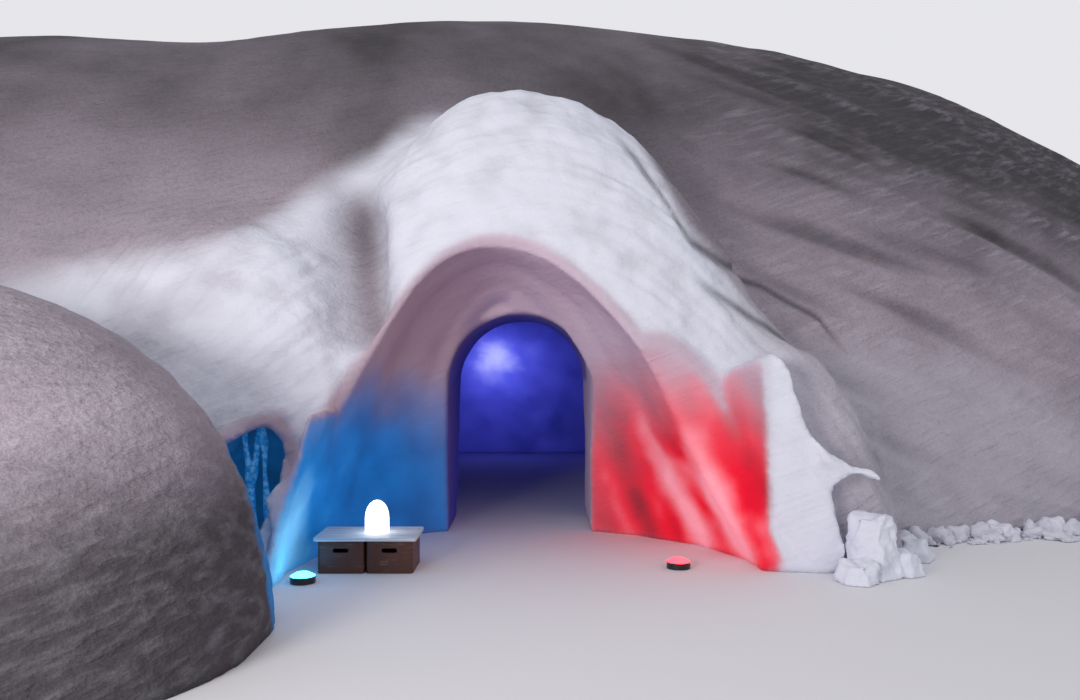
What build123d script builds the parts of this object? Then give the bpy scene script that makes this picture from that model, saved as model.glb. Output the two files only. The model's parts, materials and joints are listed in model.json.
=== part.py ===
"""A large snow igloo: an oblong mound of blown snow over a vaulted hall, with a hooded portal in its front.

All lengths are millimetres. X runs along the mound, -Y is the portal side, +Z is up, and the ground is z = 0.
The origin is the middle of the footprint. The mound is one mass of snow in flat facets, run through sections
taken across it. The hall, the passage, the portal vault, its flare and the side niche are cut out of it. It is
then divided by plane joints into the walls, roof and portal pieces that are saved one by one.
"""

import os
from dataclasses import dataclass
from math import cos, cosh, pi, radians, sin, sqrt

from build123d import *

os.makedirs("parts", exist_ok=True)

# Mound
section_count = 35
section_crowding = 0.45
facets_across = 26
drift_floor = -600
end_face_height = 260

# Heaps of blown snow, as height above the ground and how softly each runs into the next
crest_height = 5550
shoulder_height = 5070
hood_height = 3850
wing_height = 2600
cheek_height = 1700
bank_height = 2050
shoulder_reach = 1800
hood_reach = 250
hood_reach_left = 900
wing_reach = 600
cheek_reach = 500
hollow_depth = 350

# Hall, shaped by an inflated form: straight in the middle, half domes at the ends
hall_length = 11000
hall_width = 5800
hall_height = 4000
hall_y = 1200

# Passage from the portal into the hall
passage_width = 1240
passage_height = 1900
passage_front_y = -2550

# Portal vault
mouth_y = -4750
mouth_width = 3400
mouth_height = 2450
portal_x = 150
portal_lean = -0.09

# Flare, a tall scoop out of the portal's right jamb, behind the right fin
flare_x = 1150
flare_y = -4350
flare_width = 1400
flare_depth = 1500
flare_height = 1900
flare_fullness = 4.0
flare_facets = 16

# Niche undercut to the left of the portal, leaning towards it
niche_x = -2370
niche_y = -3950
niche_width = 1200
niche_depth = 1900
niche_height = 1050
niche_lean = 0.6

# Low table of two upturned crates with a board across them, to the left inside the portal
crate_width = 330
crate_depth = 400
crate_height = 230
crate_wall = 14
crate_gap = 12
crate_slot_width = 110
crate_slot_height = 32
table_x = -1050
table_y = -3880
board_overhang = 25
board_thickness = 22

# Glowing dome on the table, and the lamps that wash the snow from the ground
dome_radius = 86
dome_height = 235
dome_x = -1000
lamp_radius = 85
lamp_body_height = 45
lamp_lens_height = 28
blue_lamp_x, blue_lamp_y = -1420, -4330
red_lamp_x, red_lamp_y = 1180, -3900
violet_lamp_x, violet_lamp_y = 900, -900

# Right fin
fin_front_y = -4150
fin_reach = 2580
fin_prong_z = 690
fin_apex_z = 1570
fin_inner_x = 1820

# Left fin, a smaller lip of the same kind between the portal and the niche
left_fin_y = -4480
left_fin_apex = (-1340, 1150)
left_fin_prong = (-1640, 580)
left_fin_foot_x = -1700

# Broken snow: blocks by the fin, crumbs along the foot, strands left standing in the niche
block_radius = 210
block_spots = ((-90, 20), (-260, -180), (150, 60))
block_shares = (1.0, 0.7, 0.72)
block_rises = (2.0, 1.0, 1.1)
block_taper = 8
crumb_count = 7
crumb_radius = 130
crumb_from_x = 3000
crumb_to_x = 6200
strand_radius = 34
strand_taper = 0.6
strand_foot_y = -4000
strand_feet = (-1790, -1730, -2010)
strand_tops = (-1960, -1800, -1800)
strand_leans = (60, 20, 40)

# Plane joints between the pieces
end_joint_x = 5600
third_joint_x = 2000
jamb_joint_x = 1300
wall_joint_z = 2150
flank_joint_x = 3000
wing_joint_x = -2900
foot_joint_z = 1200
crown_joint_x = 900

# How steeply a hanging chain's curve bends, for the vaults
chain_bend = 1.25
cut_below = 300

# How far a facet's fourth corner may stand off the plane of the others
flat_enough = 1e-4


@dataclass(frozen=True)
class Heap:
    """One rounded heap of blown snow, an oval in plan turned about the upright axis."""

    x: float
    y: float
    half_length: float
    half_depth: float
    turn: float
    height: float
    end_fullness: float
    side_fullness: float

    def top(self, x: float, y: float) -> float:
        """Height of the heap above the ground, below zero outside its foot."""
        along = (x - self.x) * cos(radians(self.turn)) + (y - self.y) * sin(radians(self.turn))
        across = (y - self.y) * cos(radians(self.turn)) - (x - self.x) * sin(radians(self.turn))
        fall_along = abs(along / self.half_length) ** self.end_fullness
        fall_across = abs(across / self.half_depth) ** self.side_fullness
        return self.height * (1 - fall_along - fall_across)


main_heap = Heap(1060, 1130, 11800, 4550, 15.8, crest_height, 2.43, 2.14)
shoulder_heap = Heap(-6310, 360, 5370, 5580, 7.7, shoulder_height, 2.4, 2.0)
hood_heap = Heap(-60, -2400, 2950, 1800, 0, hood_height, 2.15, 2.5)
hood_left_heap = Heap(-60, -2400, 2300, 1800, 0, hood_height, 2.15, 2.5)
wing_heap = Heap(-2450, -3100, 1850, 1400, -5, wing_height, 2.6, 2.2)
cheek_heap = Heap(1900, -3050, 1150, 960, 0, cheek_height, 2.6, 3.4)
hollow = Heap(2000, -1700, 1300, 900, 20, hollow_depth, 2.0, 2.0)


def run_together(first: float, second: float, reach: float) -> float:
    """The higher of two surfaces, rounded where they meet over the reach."""
    share = min(1.0, max(0.0, 0.5 + 0.5 * (first - second) / reach))
    return second * (1 - share) + first * share + reach * share * (1 - share)


def snow_top(x: float, y: float) -> float:
    """Height of the finished mound, in the frame of the heaps."""
    top = run_together(main_heap.top(x, y), shoulder_heap.top(x, y), shoulder_reach)
    top -= max(0.0, hollow.top(x, y)) ** 2 / hollow_depth
    leftness = min(1.0, max(0.0, -x / hood_heap.half_length))
    reach = hood_reach + (hood_reach_left - hood_reach) * leftness
    hood_top = hood_heap.top(x, y) if x > hood_heap.x else hood_left_heap.top(x, y)
    top = run_together(top, hood_top, reach)
    top = run_together(top, wing_heap.top(x, y), wing_reach)
    top = run_together(top, cheek_heap.top(x, y), cheek_reach)
    return run_together(top, drift_floor, hood_reach)


def foot(x: float, start: float, step: float) -> float:
    """Where the snow surface meets the ground, going outward from the start in Y."""
    inside, outside = start, start + step
    while snow_top(x, outside) > 0:
        outside += step
    inside = outside - step
    for _ in range(30):
        middle = (inside + outside) / 2
        if snow_top(x, middle) > 0:
            inside = middle
        else:
            outside = middle
    return (inside + outside) / 2


def ridge(x: float) -> float:
    """Where in Y the mound is highest at this section."""
    reach = main_heap.half_length
    return max((reach * k / 60 for k in range(-60, 61)), key=lambda y: snow_top(x, y))


def end_of_mound(start: float, step: float) -> float:
    """Where the ridge has come down to the height of the end face, going outward in X."""
    x = start
    while snow_top(x, ridge(x)) > end_face_height:
        x += step
    return x - step


mound_left_end = end_of_mound(shoulder_heap.x, -50)
mound_right_end = end_of_mound(main_heap.x, 50)


def station(i: int) -> float:
    """Where section i stands, closer together at the portal and at both ends."""
    t = 2 * i / (section_count - 1) - 1
    share = t - section_crowding * sin(2 * pi * t) / (2 * pi)
    return (mound_left_end + mound_right_end) / 2 + (mound_right_end - mound_left_end) / 2 * share


stations = [station(i) for i in range(section_count)]
front_feet = [foot(x, ridge(x), -100) for x in stations]
back_feet = [foot(x, ridge(x), 100) for x in stations]

# Bank of snow heaped in front, to the left of the portal
bank_left_end = -7900
bank_right_end = -1270
bank_y = -5350
bank_half_depth = 1750
bank_turn = -6
bank_sections = 13
bank_facets = 14
bank_fullness = 3.4
bank_roundness = 2.2

bank_middle = (bank_left_end + bank_right_end) / 2
bank_half_length = (bank_right_end - bank_left_end) / 2
bank_end_share = 0.995
bank_places = [bank_end_share * sin(pi / 2 * (2 * i / (bank_sections - 1) - 1)) for i in range(bank_sections)]


def bank_share(place: float) -> float:
    """How full the bank's section is at a share of its half length."""
    return sqrt(1 - abs(place) ** bank_fullness)


def bank_row(place: float) -> float:
    """Where in Y the bank's section is centred."""
    return bank_y + bank_half_length * place * sin(radians(bank_turn))


bank_front = min(bank_row(place) - bank_half_depth * bank_share(place) for place in bank_places)

# The origin goes to the middle of the footprint
shift_x = -(mound_left_end + mound_right_end) / 2
shift_y = -(bank_front + max(back_feet)) / 2


def across(x: float, y: float = 0) -> Plane:
    """An upright plane across the mound, with the heaps' own Y as its first direction."""
    return Plane(origin=(x + shift_x, y + shift_y, 0), x_dir=(0, 1, 0), z_dir=(1, 0, 0))


def along(x: float, y: float) -> Plane:
    """An upright plane along the mound, facing the portal side."""
    return Plane(origin=(x + shift_x, y + shift_y, 0), x_dir=(1, 0, 0), z_dir=(0, -1, 0))


def arch_points(half_width: float, top: float, lean: float, count: int = 18) -> list[tuple[float, float]]:
    """A hanging chain's curve turned upright, from the left springing to the right one."""
    share = [-cos(pi * i / count) for i in range(count + 1)]
    rise = [top * (1 - (cosh(chain_bend * s) - 1) / (cosh(chain_bend) - 1)) for s in share]
    return [(half_width * s + lean * r, r) for s, r in zip(share, rise)]


def arch_section(plane: Plane, half_width: float, top: float, lean: float = 0) -> Wire:
    """One closed section of a vault, with its legs taken below the ground."""
    outline = arch_points(half_width, top, lean) + [(half_width, -cut_below), (-half_width, -cut_below)]
    return Wire.make_polygon([plane.from_local_coords(point) for point in outline])


def snow_section(station: float, front: float, back: float) -> Wire:
    """One closed section across the mound, from its front foot to its back foot."""
    steps = [i / facets_across for i in range(facets_across + 1)]
    rows = [front + (back - front) * (step - 0.7 * sin(2 * pi * step) / (2 * pi)) for step in steps]
    heights = [0.0] + [max(1.0, snow_top(station, row)) for row in rows[1:-1]] + [0.0]
    return Wire.make_polygon([across(station).from_local_coords(point) for point in zip(rows, heights)])


def facet(*corners: Vector) -> Face:
    """One flat facet."""
    return Face(Wire.make_polygon(corners))


def faceted_loft(sections: list[Wire]) -> Solid:
    """A solid run through closed sections with the same number of corners, in flat facets only."""
    rings = [[vertex.center() for vertex in section.vertices()] for section in sections]
    faces = [Face(sections[0]), Face(sections[-1])]
    for near, away in zip(rings, rings[1:]):
        for i in range(len(near)):
            a, b, c, d = near[i - 1], near[i], away[i], away[i - 1]
            twist = abs((b - a).cross(d - a).normalized().dot(c - a))
            if twist < flat_enough:
                faces.append(facet(a, b, c, d))
            elif (c - a).length < (d - b).length:
                faces += [facet(a, b, c), facet(a, c, d)]
            else:
                faces += [facet(a, b, d), facet(b, c, d)]
    solid = Solid(Shell(faces))
    return solid if solid.volume > 0 else Solid(Shell([-face for face in faces]))


def hall_section(reach: float) -> Wire:
    """One section across the hall, full in the straight middle and falling away in the domes."""
    beyond = max(0.0, abs(reach) - dome_centre)
    half = sqrt((hall_width / 2) ** 2 - beyond**2)
    fall = (cosh(chain_bend * beyond / (hall_width / 2)) - 1) / (cosh(chain_bend) - 1)
    return arch_section(across(reach, hall_y), half, hall_height * (1 - fall))


# Hall
dome_centre = (hall_length - hall_width) / 2
dome_steps = [0.0, 0.35, 0.6, 0.8, 0.92, 0.98]
dome_reaches = [dome_centre + hall_width / 2 * step for step in dome_steps]
with BuildPart() as hall:
    add(faceted_loft([hall_section(reach) for reach in [-r for r in reversed(dome_reaches)] + dome_reaches]))

# Passage, with upright jambs and a round head
passage_spring = passage_height - passage_width / 2
passage_overlap = 300
passage_back_y = hall_y - hall_width / 4
with BuildPart() as passage:
    with BuildSketch(along(0, passage_front_y - passage_overlap)):
        with BuildLine():
            head = ThreePointArc(
                (-passage_width / 2, passage_spring),
                (0, passage_height),
                (passage_width / 2, passage_spring),
            )
            Polyline(
                head @ 1,
                (passage_width / 2, -cut_below),
                (-passage_width / 2, -cut_below),
                head @ 0,
            )
        make_face()
    extrude(amount=-(passage_back_y - passage_front_y + passage_overlap))

# Portal vault, an apse that opens outward: how far in, and its shares of the mouth's width and height there
portal_depth = passage_front_y - mouth_y
portal_shape = (
    (0.0, 1.02, 1.12),
    (0.3, 1.0, 1.0),
    (0.52, 0.96, 0.96),
    (0.75, 0.84, 0.93),
    (0.92, 0.6, 0.87),
    (1.0, 0.4, 0.8),
)
with BuildPart() as portal:
    add(
        faceted_loft(
            [
                arch_section(
                    along(portal_x * (1 - inward), mouth_y + portal_depth * inward),
                    mouth_width / 2 * width_share,
                    mouth_height * height_share,
                    portal_lean,
                )
                for inward, width_share, height_share in portal_shape
            ]
        )
    )

# Niche, a rounded scoop: how far along its depth, and its share of the full width there
niche_shape = ((-0.5, 0.75), (-0.2, 1.0), (0.15, 0.95), (0.38, 0.7), (0.5, 0.3))
with BuildPart() as niche:
    add(
        faceted_loft(
            [
                arch_section(
                    along(niche_x, niche_y + niche_depth * place),
                    niche_width / 2 * width_share,
                    niche_height * sqrt(width_share),
                    niche_lean,
                )
                for place, width_share in niche_shape
            ]
        )
    )

# Flare: how far up, with the oval drawn in towards its top
flare_levels = (0.0, 0.45, 0.7, 0.85, 0.94, 0.985)


def flare_section(level: float) -> Wire:
    """One level section of the flare, at a share of its height."""
    share = (1 - level**flare_fullness) ** (1 / flare_fullness)
    turns = [2 * pi * i / flare_facets for i in range(flare_facets)]
    rise = flare_height * level if level > 0 else -cut_below
    plane = Plane(origin=(flare_x + shift_x, flare_y + shift_y, rise))
    outline = [(flare_width / 2 * share * cos(turn), flare_depth / 2 * share * sin(turn)) for turn in turns]
    return Wire.make_polygon([plane.from_local_coords(point) for point in outline])


with BuildPart() as flare:
    add(faceted_loft([flare_section(level) for level in flare_levels]))

# Mass of the mound
with BuildPart() as mound:
    add(faceted_loft([snow_section(*place) for place in zip(stations, front_feet, back_feet)]))

with BuildPart() as snow:
    add(mound.part)
    add(hall.part, mode=Mode.SUBTRACT)
    add(passage.part, mode=Mode.SUBTRACT)
    add(portal.part, mode=Mode.SUBTRACT)
    add(niche.part, mode=Mode.SUBTRACT)
    add(flare.part, mode=Mode.SUBTRACT)

far = 2 * (mound_right_end - mound_left_end)
low_y, high_y = -far, far
sky = crest_height * 2


def save(part: Part, name: str) -> None:
    """Labels a piece and writes its file."""
    part.label = name
    export_step(part, f"parts/{name}.step")


def between(
    source: Part, x_from: float, x_to: float, y_from: float, y_to: float, z_from: float, z_to: float
) -> Part:
    """The part of some snow between plane joints, given in the frame of the heaps."""
    with BuildPart() as piece:
        add(source)
        with Locations(((x_from + x_to) / 2 + shift_x, (y_from + y_to) / 2 + shift_y, (z_from + z_to) / 2)):
            Box(x_to - x_from, y_to - y_from, z_to - z_from, mode=Mode.INTERSECT)
    return piece.part


# End walls
save(between(snow.part, -far, -end_joint_x, -far, far, 0, sky), "left_end_wall")
save(between(snow.part, end_joint_x, far, -far, far, 0, sky), "right_end_wall")

# Walls and roof of the hall, in three bays
back_block = between(snow.part, -end_joint_x, end_joint_x, hall_y, far, 0, sky)
middle_block = between(snow.part, -end_joint_x, end_joint_x, passage_front_y, hall_y, 0, sky)
bays = {
    "left": (-end_joint_x, -third_joint_x),
    "middle": (-third_joint_x, third_joint_x),
    "right": (third_joint_x, end_joint_x),
}
for side, (x_from, x_to) in bays.items():
    save(between(back_block, x_from, x_to, -far, far, 0, wall_joint_z), f"back_wall_{side}")
    save(between(back_block, x_from, x_to, -far, far, wall_joint_z, sky), f"roof_back_{side}")
    save(between(middle_block, x_from, x_to, -far, far, wall_joint_z, sky), f"roof_front_{side}")
save(between(middle_block, -far, -jamb_joint_x, -far, far, 0, wall_joint_z), "front_wall_left")
save(between(middle_block, jamb_joint_x, far, -far, far, 0, wall_joint_z), "front_wall_right")

# Passage
passage_block = between(middle_block, -jamb_joint_x, jamb_joint_x, -far, far, 0, wall_joint_z)
save(between(passage_block, -far, 0, -far, far, 0, passage_spring), "passage_left_wall")
save(between(passage_block, 0, far, -far, far, 0, passage_spring), "passage_right_wall")
save(between(passage_block, -far, far, -far, far, passage_spring, sky), "passage_arch")

# Portal, and the snow beside it
front_block = between(snow.part, -end_joint_x, end_joint_x, -far, passage_front_y, 0, sky)
save(between(front_block, wing_joint_x, 0, -far, far, 0, foot_joint_z), "portal_left_foot")
save(between(front_block, 0, flank_joint_x, -far, far, 0, foot_joint_z), "portal_right_foot")
save(between(front_block, wing_joint_x, -crown_joint_x, -far, far, foot_joint_z, sky), "portal_left_haunch")
save(between(front_block, crown_joint_x, flank_joint_x, -far, far, foot_joint_z, sky), "portal_right_haunch")
save(between(front_block, -crown_joint_x, crown_joint_x, -far, far, foot_joint_z, sky), "portal_crown")
save(between(front_block, -far, wing_joint_x, -far, far, 0, sky), "left_wing")
save(between(front_block, flank_joint_x, far, -far, far, 0, sky), "right_flank")

# Right fin, a thin flared lip of the vault left standing in front of the right foot
fin_tip = (fin_reach, fin_prong_z)
fin_tip_under = (fin_reach - 20, fin_prong_z - 40)
fin_apex = (fin_inner_x + 20, fin_apex_z)
fin_foot = (fin_inner_x - 500, 0)
fin_depth = passage_front_y - fin_front_y
with BuildPart() as right_fin:
    with BuildSketch(along(0, fin_front_y)):
        with BuildLine():
            Spline(
                fin_apex,
                (fin_inner_x + 160, fin_apex_z - 220),
                (fin_inner_x + 290, fin_apex_z - 590),
                (fin_inner_x + 470, fin_prong_z + 110),
                fin_tip,
            )
            Line(fin_tip, fin_tip_under)
            Spline(
                fin_tip_under,
                (fin_reach - 200, fin_prong_z - 10),
                (fin_reach - 330, fin_prong_z - 160),
                (fin_reach - 280, fin_prong_z - 390),
                (fin_reach - 320, 0),
            )
            Line((fin_reach - 320, 0), fin_foot)
            Polyline(
                fin_foot,
                (fin_inner_x - 460, fin_apex_z * 0.6),
                (fin_inner_x - 300, fin_apex_z * 0.9),
                fin_apex,
            )
        make_face()
    extrude(amount=-fin_depth)
    with BuildSketch(Plane(origin=(shift_x, fin_front_y + shift_y, 0))):
        with BuildLine():
            front_edge = Spline((fin_inner_x - 20, 130), (fin_inner_x + 280, 90), (fin_reach + 70, 10))
            Polyline(front_edge @ 1, (fin_reach + 70, 80), (fin_reach - 330, 330), (fin_reach - 430, 850))
            Line((fin_reach - 430, 850), (fin_inner_x - 500, 850))
            Spline((fin_inner_x - 500, 850), (fin_inner_x - 240, 430), front_edge @ 0)
        make_face()
    extrude(amount=fin_apex_z * 1.1, mode=Mode.INTERSECT)
    add(snow.part, mode=Mode.SUBTRACT)
    add(portal.part, mode=Mode.SUBTRACT)
    add(flare.part, mode=Mode.SUBTRACT)
save(right_fin.part, "right_fin")


# Left fin
prong_x, prong_z = left_fin_prong
left_fin_root = (left_fin_apex[0] + 240, left_fin_apex[1])
with BuildPart() as left_fin:
    with BuildSketch(along(0, left_fin_y)):
        with BuildLine():
            Spline(
                left_fin_apex,
                (prong_x + 200, prong_z + 280),
                (prong_x + 100, prong_z + 80),
                left_fin_prong,
            )
            Line(left_fin_prong, (prong_x, prong_z - 35))
            Spline(
                (prong_x, prong_z - 35),
                (prong_x + 40, prong_z - 140),
                (prong_x, 180),
                (left_fin_foot_x, 0),
            )
            Polyline((left_fin_foot_x, 0), (left_fin_root[0], 0), left_fin_root, left_fin_apex)
        make_face()
    extrude(amount=-(passage_front_y - left_fin_y))
    add(snow.part, mode=Mode.SUBTRACT)
    add(portal.part, mode=Mode.SUBTRACT)
save(left_fin.part, "left_fin")


def bank_section(place: float) -> Wire:
    """One closed section across the bank, at a share of its half length."""
    share = bank_share(place)
    steps = [-cos(pi * i / bank_facets) for i in range(bank_facets + 1)]
    half, top = bank_half_depth * share, bank_height * share
    outline = [(half * step, top * (1 - abs(step) ** bank_roundness)) for step in steps]
    plane = across(bank_middle + bank_half_length * place, bank_row(place))
    return Wire.make_polygon([plane.from_local_coords(point) for point in outline])


# Bank, laid against the mound and open where the niche and the portal are
with BuildPart() as left_bank:
    add(faceted_loft([bank_section(place) for place in bank_places]))
    add(mound.part, mode=Mode.SUBTRACT)
    add(niche.part, mode=Mode.SUBTRACT)
    add(portal.part, mode=Mode.SUBTRACT)
    add(left_fin.part, mode=Mode.SUBTRACT)
save(left_bank.part, "left_bank")


def strand(x_foot: float, x_top: float, top_z: float, y_lean: float) -> Part:
    """One thin tapering strand from under the ground to its top, in the plane of the niche's mouth."""
    foot_point = Vector(x_foot + shift_x, strand_foot_y + shift_y, -cut_below)
    top_point = Vector(x_top + shift_x, strand_foot_y + y_lean + shift_y, top_z)
    rise = top_point - foot_point
    with BuildSketch(Plane(origin=foot_point, z_dir=rise)) as foot_face:
        RegularPolygon(strand_radius, 6)
    with BuildSketch(Plane(origin=top_point, z_dir=rise)) as top_face:
        RegularPolygon(strand_radius * strand_taper, 6)
    return loft([foot_face.sketch, top_face.sketch], ruled=True)


# Strands in the niche, a leaning pair tied to a third like a letter Y
with BuildPart() as niche_strands:
    for x_foot, x_top, y_lean in zip(strand_feet, strand_tops, strand_leans):
        add(strand(x_foot, x_top, niche_height * 1.1, y_lean))
    with Locations((niche_x + shift_x, strand_foot_y + shift_y, sky / 2)):
        Box(niche_width * 2, niche_depth * 2, sky, mode=Mode.INTERSECT)
    add(snow.part, mode=Mode.SUBTRACT)
save(niche_strands.part, "niche_strands")

# Broken blocks frozen to the foot of the fin
with BuildPart() as snow_blocks:
    for (x, y), size, rise in zip(block_spots, block_shares, block_rises):
        with BuildSketch(Plane.XY):
            with Locations((fin_reach + x + shift_x, fin_front_y + y + shift_y)):
                RegularPolygon(block_radius * size, 6, rotation=x)
        extrude(amount=block_radius * size * rise, taper=block_taper)
    add(snow.part, mode=Mode.SUBTRACT)
    add(right_fin.part, mode=Mode.SUBTRACT)
save(snow_blocks.part, "snow_blocks")

# Crumbs frozen to the foot of the right flank
with BuildPart() as foot_crumbs:
    for i in range(crumb_count):
        x = crumb_from_x + (crumb_to_x - crumb_from_x) * i / (crumb_count - 1)
        radius = crumb_radius * (1 + 0.3 * cos(2.4 * i))
        with BuildSketch(Plane.XY):
            with Locations((x + shift_x, foot(x, ridge(x), -100) - radius * 0.4 + shift_y)):
                RegularPolygon(radius, 5 + i % 3, rotation=40 * i)
        extrude(amount=radius * (0.9 + 0.2 * sin(3.1 * i)), taper=18)
    add(snow.part, mode=Mode.SUBTRACT)
save(foot_crumbs.part, "foot_crumbs")

# Crates, upturned, each with a grip slot in both ends
crate_step = (crate_width + crate_gap) / 2
for side, x in (("left", table_x - crate_step), ("right", table_x + crate_step)):
    with BuildPart() as crate:
        with Locations((x + shift_x, table_y + shift_y, 0)):
            Box(crate_width, crate_depth, crate_height, align=(Align.CENTER, Align.CENTER, Align.MIN))
        fillet(crate.edges().filter_by(Axis.Z), radius=2 * crate_wall)
        offset(amount=-crate_wall, openings=crate.faces().sort_by(Axis.Z)[0])
        with BuildSketch(along(x, table_y)):
            with Locations((0, crate_height * 0.7)):
                SlotOverall(crate_slot_width, crate_slot_height)
        extrude(amount=crate_depth, both=True, mode=Mode.SUBTRACT)
    save(crate.part, f"crate_{side}")

# Board across the crates
with BuildPart() as table_board:
    with Locations((table_x + shift_x, table_y + shift_y, crate_height)):
        Box(
            2 * crate_width + crate_gap + 2 * board_overhang,
            crate_depth + 2 * board_overhang,
            board_thickness,
            align=(Align.CENTER, Align.CENTER, Align.MIN),
        )
    fillet(table_board.edges().filter_by(Axis.Z), radius=board_thickness)
save(table_board.part, "table_board")

# Glowing dome
with BuildPart() as dome_lamp:
    dome_base = crate_height + board_thickness
    dome_shoulder = dome_height * 0.45
    with BuildSketch(along(dome_x, table_y)):
        with BuildLine():
            wall_line = Line((dome_radius, dome_base), (dome_radius, dome_base + dome_shoulder))
            rounds = [pi / 2 * k / 5 for k in range(6)]
            cap = Polyline(
                [
                    (dome_radius * cos(r), dome_base + dome_shoulder + (dome_height - dome_shoulder) * sin(r))
                    for r in rounds
                ]
            )
            Polyline(cap @ 1, (0, dome_base), wall_line @ 0)
        make_face()
    revolve(axis=Axis((dome_x + shift_x, table_y + shift_y, 0), (0, 0, 1)))
save(dome_lamp.part, "dome_lamp")


def floor_lamp(x: float, y: float, name: str) -> None:
    """A low round lamp that lies on the ground, with a domed lens."""
    with BuildPart() as lamp:
        with BuildSketch(along(x, y)):
            with BuildLine():
                side = Polyline((0, 0), (lamp_radius, 0), (lamp_radius, lamp_body_height))
                lens = Polyline(
                    side @ 1,
                    (lamp_radius * 0.55, lamp_body_height + lamp_lens_height * 0.8),
                    (0, lamp_body_height + lamp_lens_height),
                )
                Line(lens @ 1, side @ 0)
            make_face()
        revolve(axis=Axis((x + shift_x, y + shift_y, 0), (0, 0, 1)))
    save(lamp.part, name)


floor_lamp(blue_lamp_x, blue_lamp_y, "blue_floor_lamp")
floor_lamp(red_lamp_x, red_lamp_y, "red_floor_lamp")
floor_lamp(violet_lamp_x, violet_lamp_y, "violet_floor_lamp")
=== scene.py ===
"""Looks of a large snow igloo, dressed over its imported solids.

The mound is one mass of wind-packed snow over a vaulted hall. Its skin is made as one closed form, hollowed by the
hall, the passage, the portal vault and the side niche, and then shaped by wind, tools and thaw. It is divided at the
plane joints of the solids, so that each solid has its own skin. Lengths are metres, in the frame of the solids.
"""

import json
import logging
from dataclasses import dataclass, field
from enum import Enum, IntEnum
from math import cos, cosh, pi, radians, sin, sqrt

import bmesh
import bpy
import numpy as np
from bpy.types import Material, Node, NodeSocket, NodeTree, Object
from mathutils import Matrix, Vector
from mathutils.bvhtree import BVHTree

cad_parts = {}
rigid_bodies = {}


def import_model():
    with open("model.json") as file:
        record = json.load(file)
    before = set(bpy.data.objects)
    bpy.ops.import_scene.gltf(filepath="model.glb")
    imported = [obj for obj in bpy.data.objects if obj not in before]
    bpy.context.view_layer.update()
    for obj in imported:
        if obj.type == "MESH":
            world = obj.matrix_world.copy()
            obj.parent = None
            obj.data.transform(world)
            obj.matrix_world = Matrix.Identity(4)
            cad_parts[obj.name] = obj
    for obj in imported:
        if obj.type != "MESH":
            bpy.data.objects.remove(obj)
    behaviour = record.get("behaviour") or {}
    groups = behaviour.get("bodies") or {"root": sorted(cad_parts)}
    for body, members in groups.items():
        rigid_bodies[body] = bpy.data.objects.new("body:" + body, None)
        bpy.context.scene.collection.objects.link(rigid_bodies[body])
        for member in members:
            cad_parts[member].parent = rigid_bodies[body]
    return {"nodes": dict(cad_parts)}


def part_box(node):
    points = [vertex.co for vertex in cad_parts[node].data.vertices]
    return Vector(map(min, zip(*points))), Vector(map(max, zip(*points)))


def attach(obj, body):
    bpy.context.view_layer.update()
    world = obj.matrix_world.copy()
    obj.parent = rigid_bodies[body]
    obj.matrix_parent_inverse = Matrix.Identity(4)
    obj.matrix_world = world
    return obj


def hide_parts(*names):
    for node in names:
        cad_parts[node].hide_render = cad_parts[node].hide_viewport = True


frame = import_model()
log = logging.getLogger("snow_igloo")

CHAIN_BEND = 1.25
BELOW_GROUND = -0.3
FOOT_FADE = 0.05


class Seed(IntEnum):
    """The seed of each noise, so that every run gives the same snow."""

    SWELL = 11
    WIDE_RIDGES = 23
    SHARP_RIDGES = 29
    LEDGES = 31
    RIPPLES = 37
    SCOOPS = 41
    FLUTES = 43
    LAYERS = 47
    BLOCKS = 53
    CLODS = 59
    DENTS = 61
    CRACKS = 67
    LIT_EDGE = 71
    LIGHT_EDGE = 73
    GROOVE = 79
    TONE = 83
    HEAPS = 89
    CLOD_PLACES = 97
    PORTAL = 101
    NICHE = 103
    FLARE = 107
    CLOD_FORM = 109
    CLOD_SKIN = 113


# Shared helpers


def linear(hex_colour: str) -> tuple[float, float, float, float]:
    """Turns an sRGB hex colour into linear values.

    Args:
        hex_colour: Six hex digits after a hash sign.

    Returns:
        Linear red, green and blue, with an alpha of 1.
    """
    shares = [int(hex_colour[i : i + 2], 16) / 255 for i in (1, 3, 5)]
    curved = [s / 12.92 if s <= 0.04045 else ((s + 0.055) / 1.055) ** 2.4 for s in shares]
    return (*curved, 1.0)


def add_node(tree: NodeTree, kind: str, inputs: dict | None = None, **settings: object) -> Node:
    """Adds one shader node.

    Args:
        tree: The node tree that it goes into.
        kind: The node's type, as Blender names it after "ShaderNode".
        inputs: What goes into each input, by its name or number: a plain value, an sRGB hex colour, a socket, or a
            node for its first output in use.
        **settings: The node's own properties.

    Returns:
        The new node.
    """
    made = tree.nodes.new("ShaderNode" + kind)
    for name, value in settings.items():
        setattr(made, name, value)
    for key, value in (inputs or {}).items():
        if isinstance(value, Node):
            value = next(socket for socket in value.outputs if socket.enabled)
        if isinstance(value, NodeSocket):
            tree.links.new(value, made.inputs[key])
        else:
            made.inputs[key].default_value = linear(value) if isinstance(value, str) else value
    return made


def blank_material(name: str) -> tuple[Material, NodeTree]:
    """Makes a material whose node tree is still empty, and gives both.

    Args:
        name: The material's name.

    Returns:
        The material and its node tree.
    """
    made = bpy.data.materials.new(name)
    made.use_nodes = True
    made.node_tree.nodes.clear()
    return made, made.node_tree


def placed(name: str, data: bpy.types.ID) -> Object:
    """Makes an object of a mesh, a lamp or a camera, and links it to the scene.

    Args:
        name: The object's name.
        data: The mesh, lamp or camera that it shows.

    Returns:
        The new object.
    """
    made = bpy.data.objects.new(name, data)
    bpy.context.scene.collection.objects.link(made)
    return made


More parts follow.
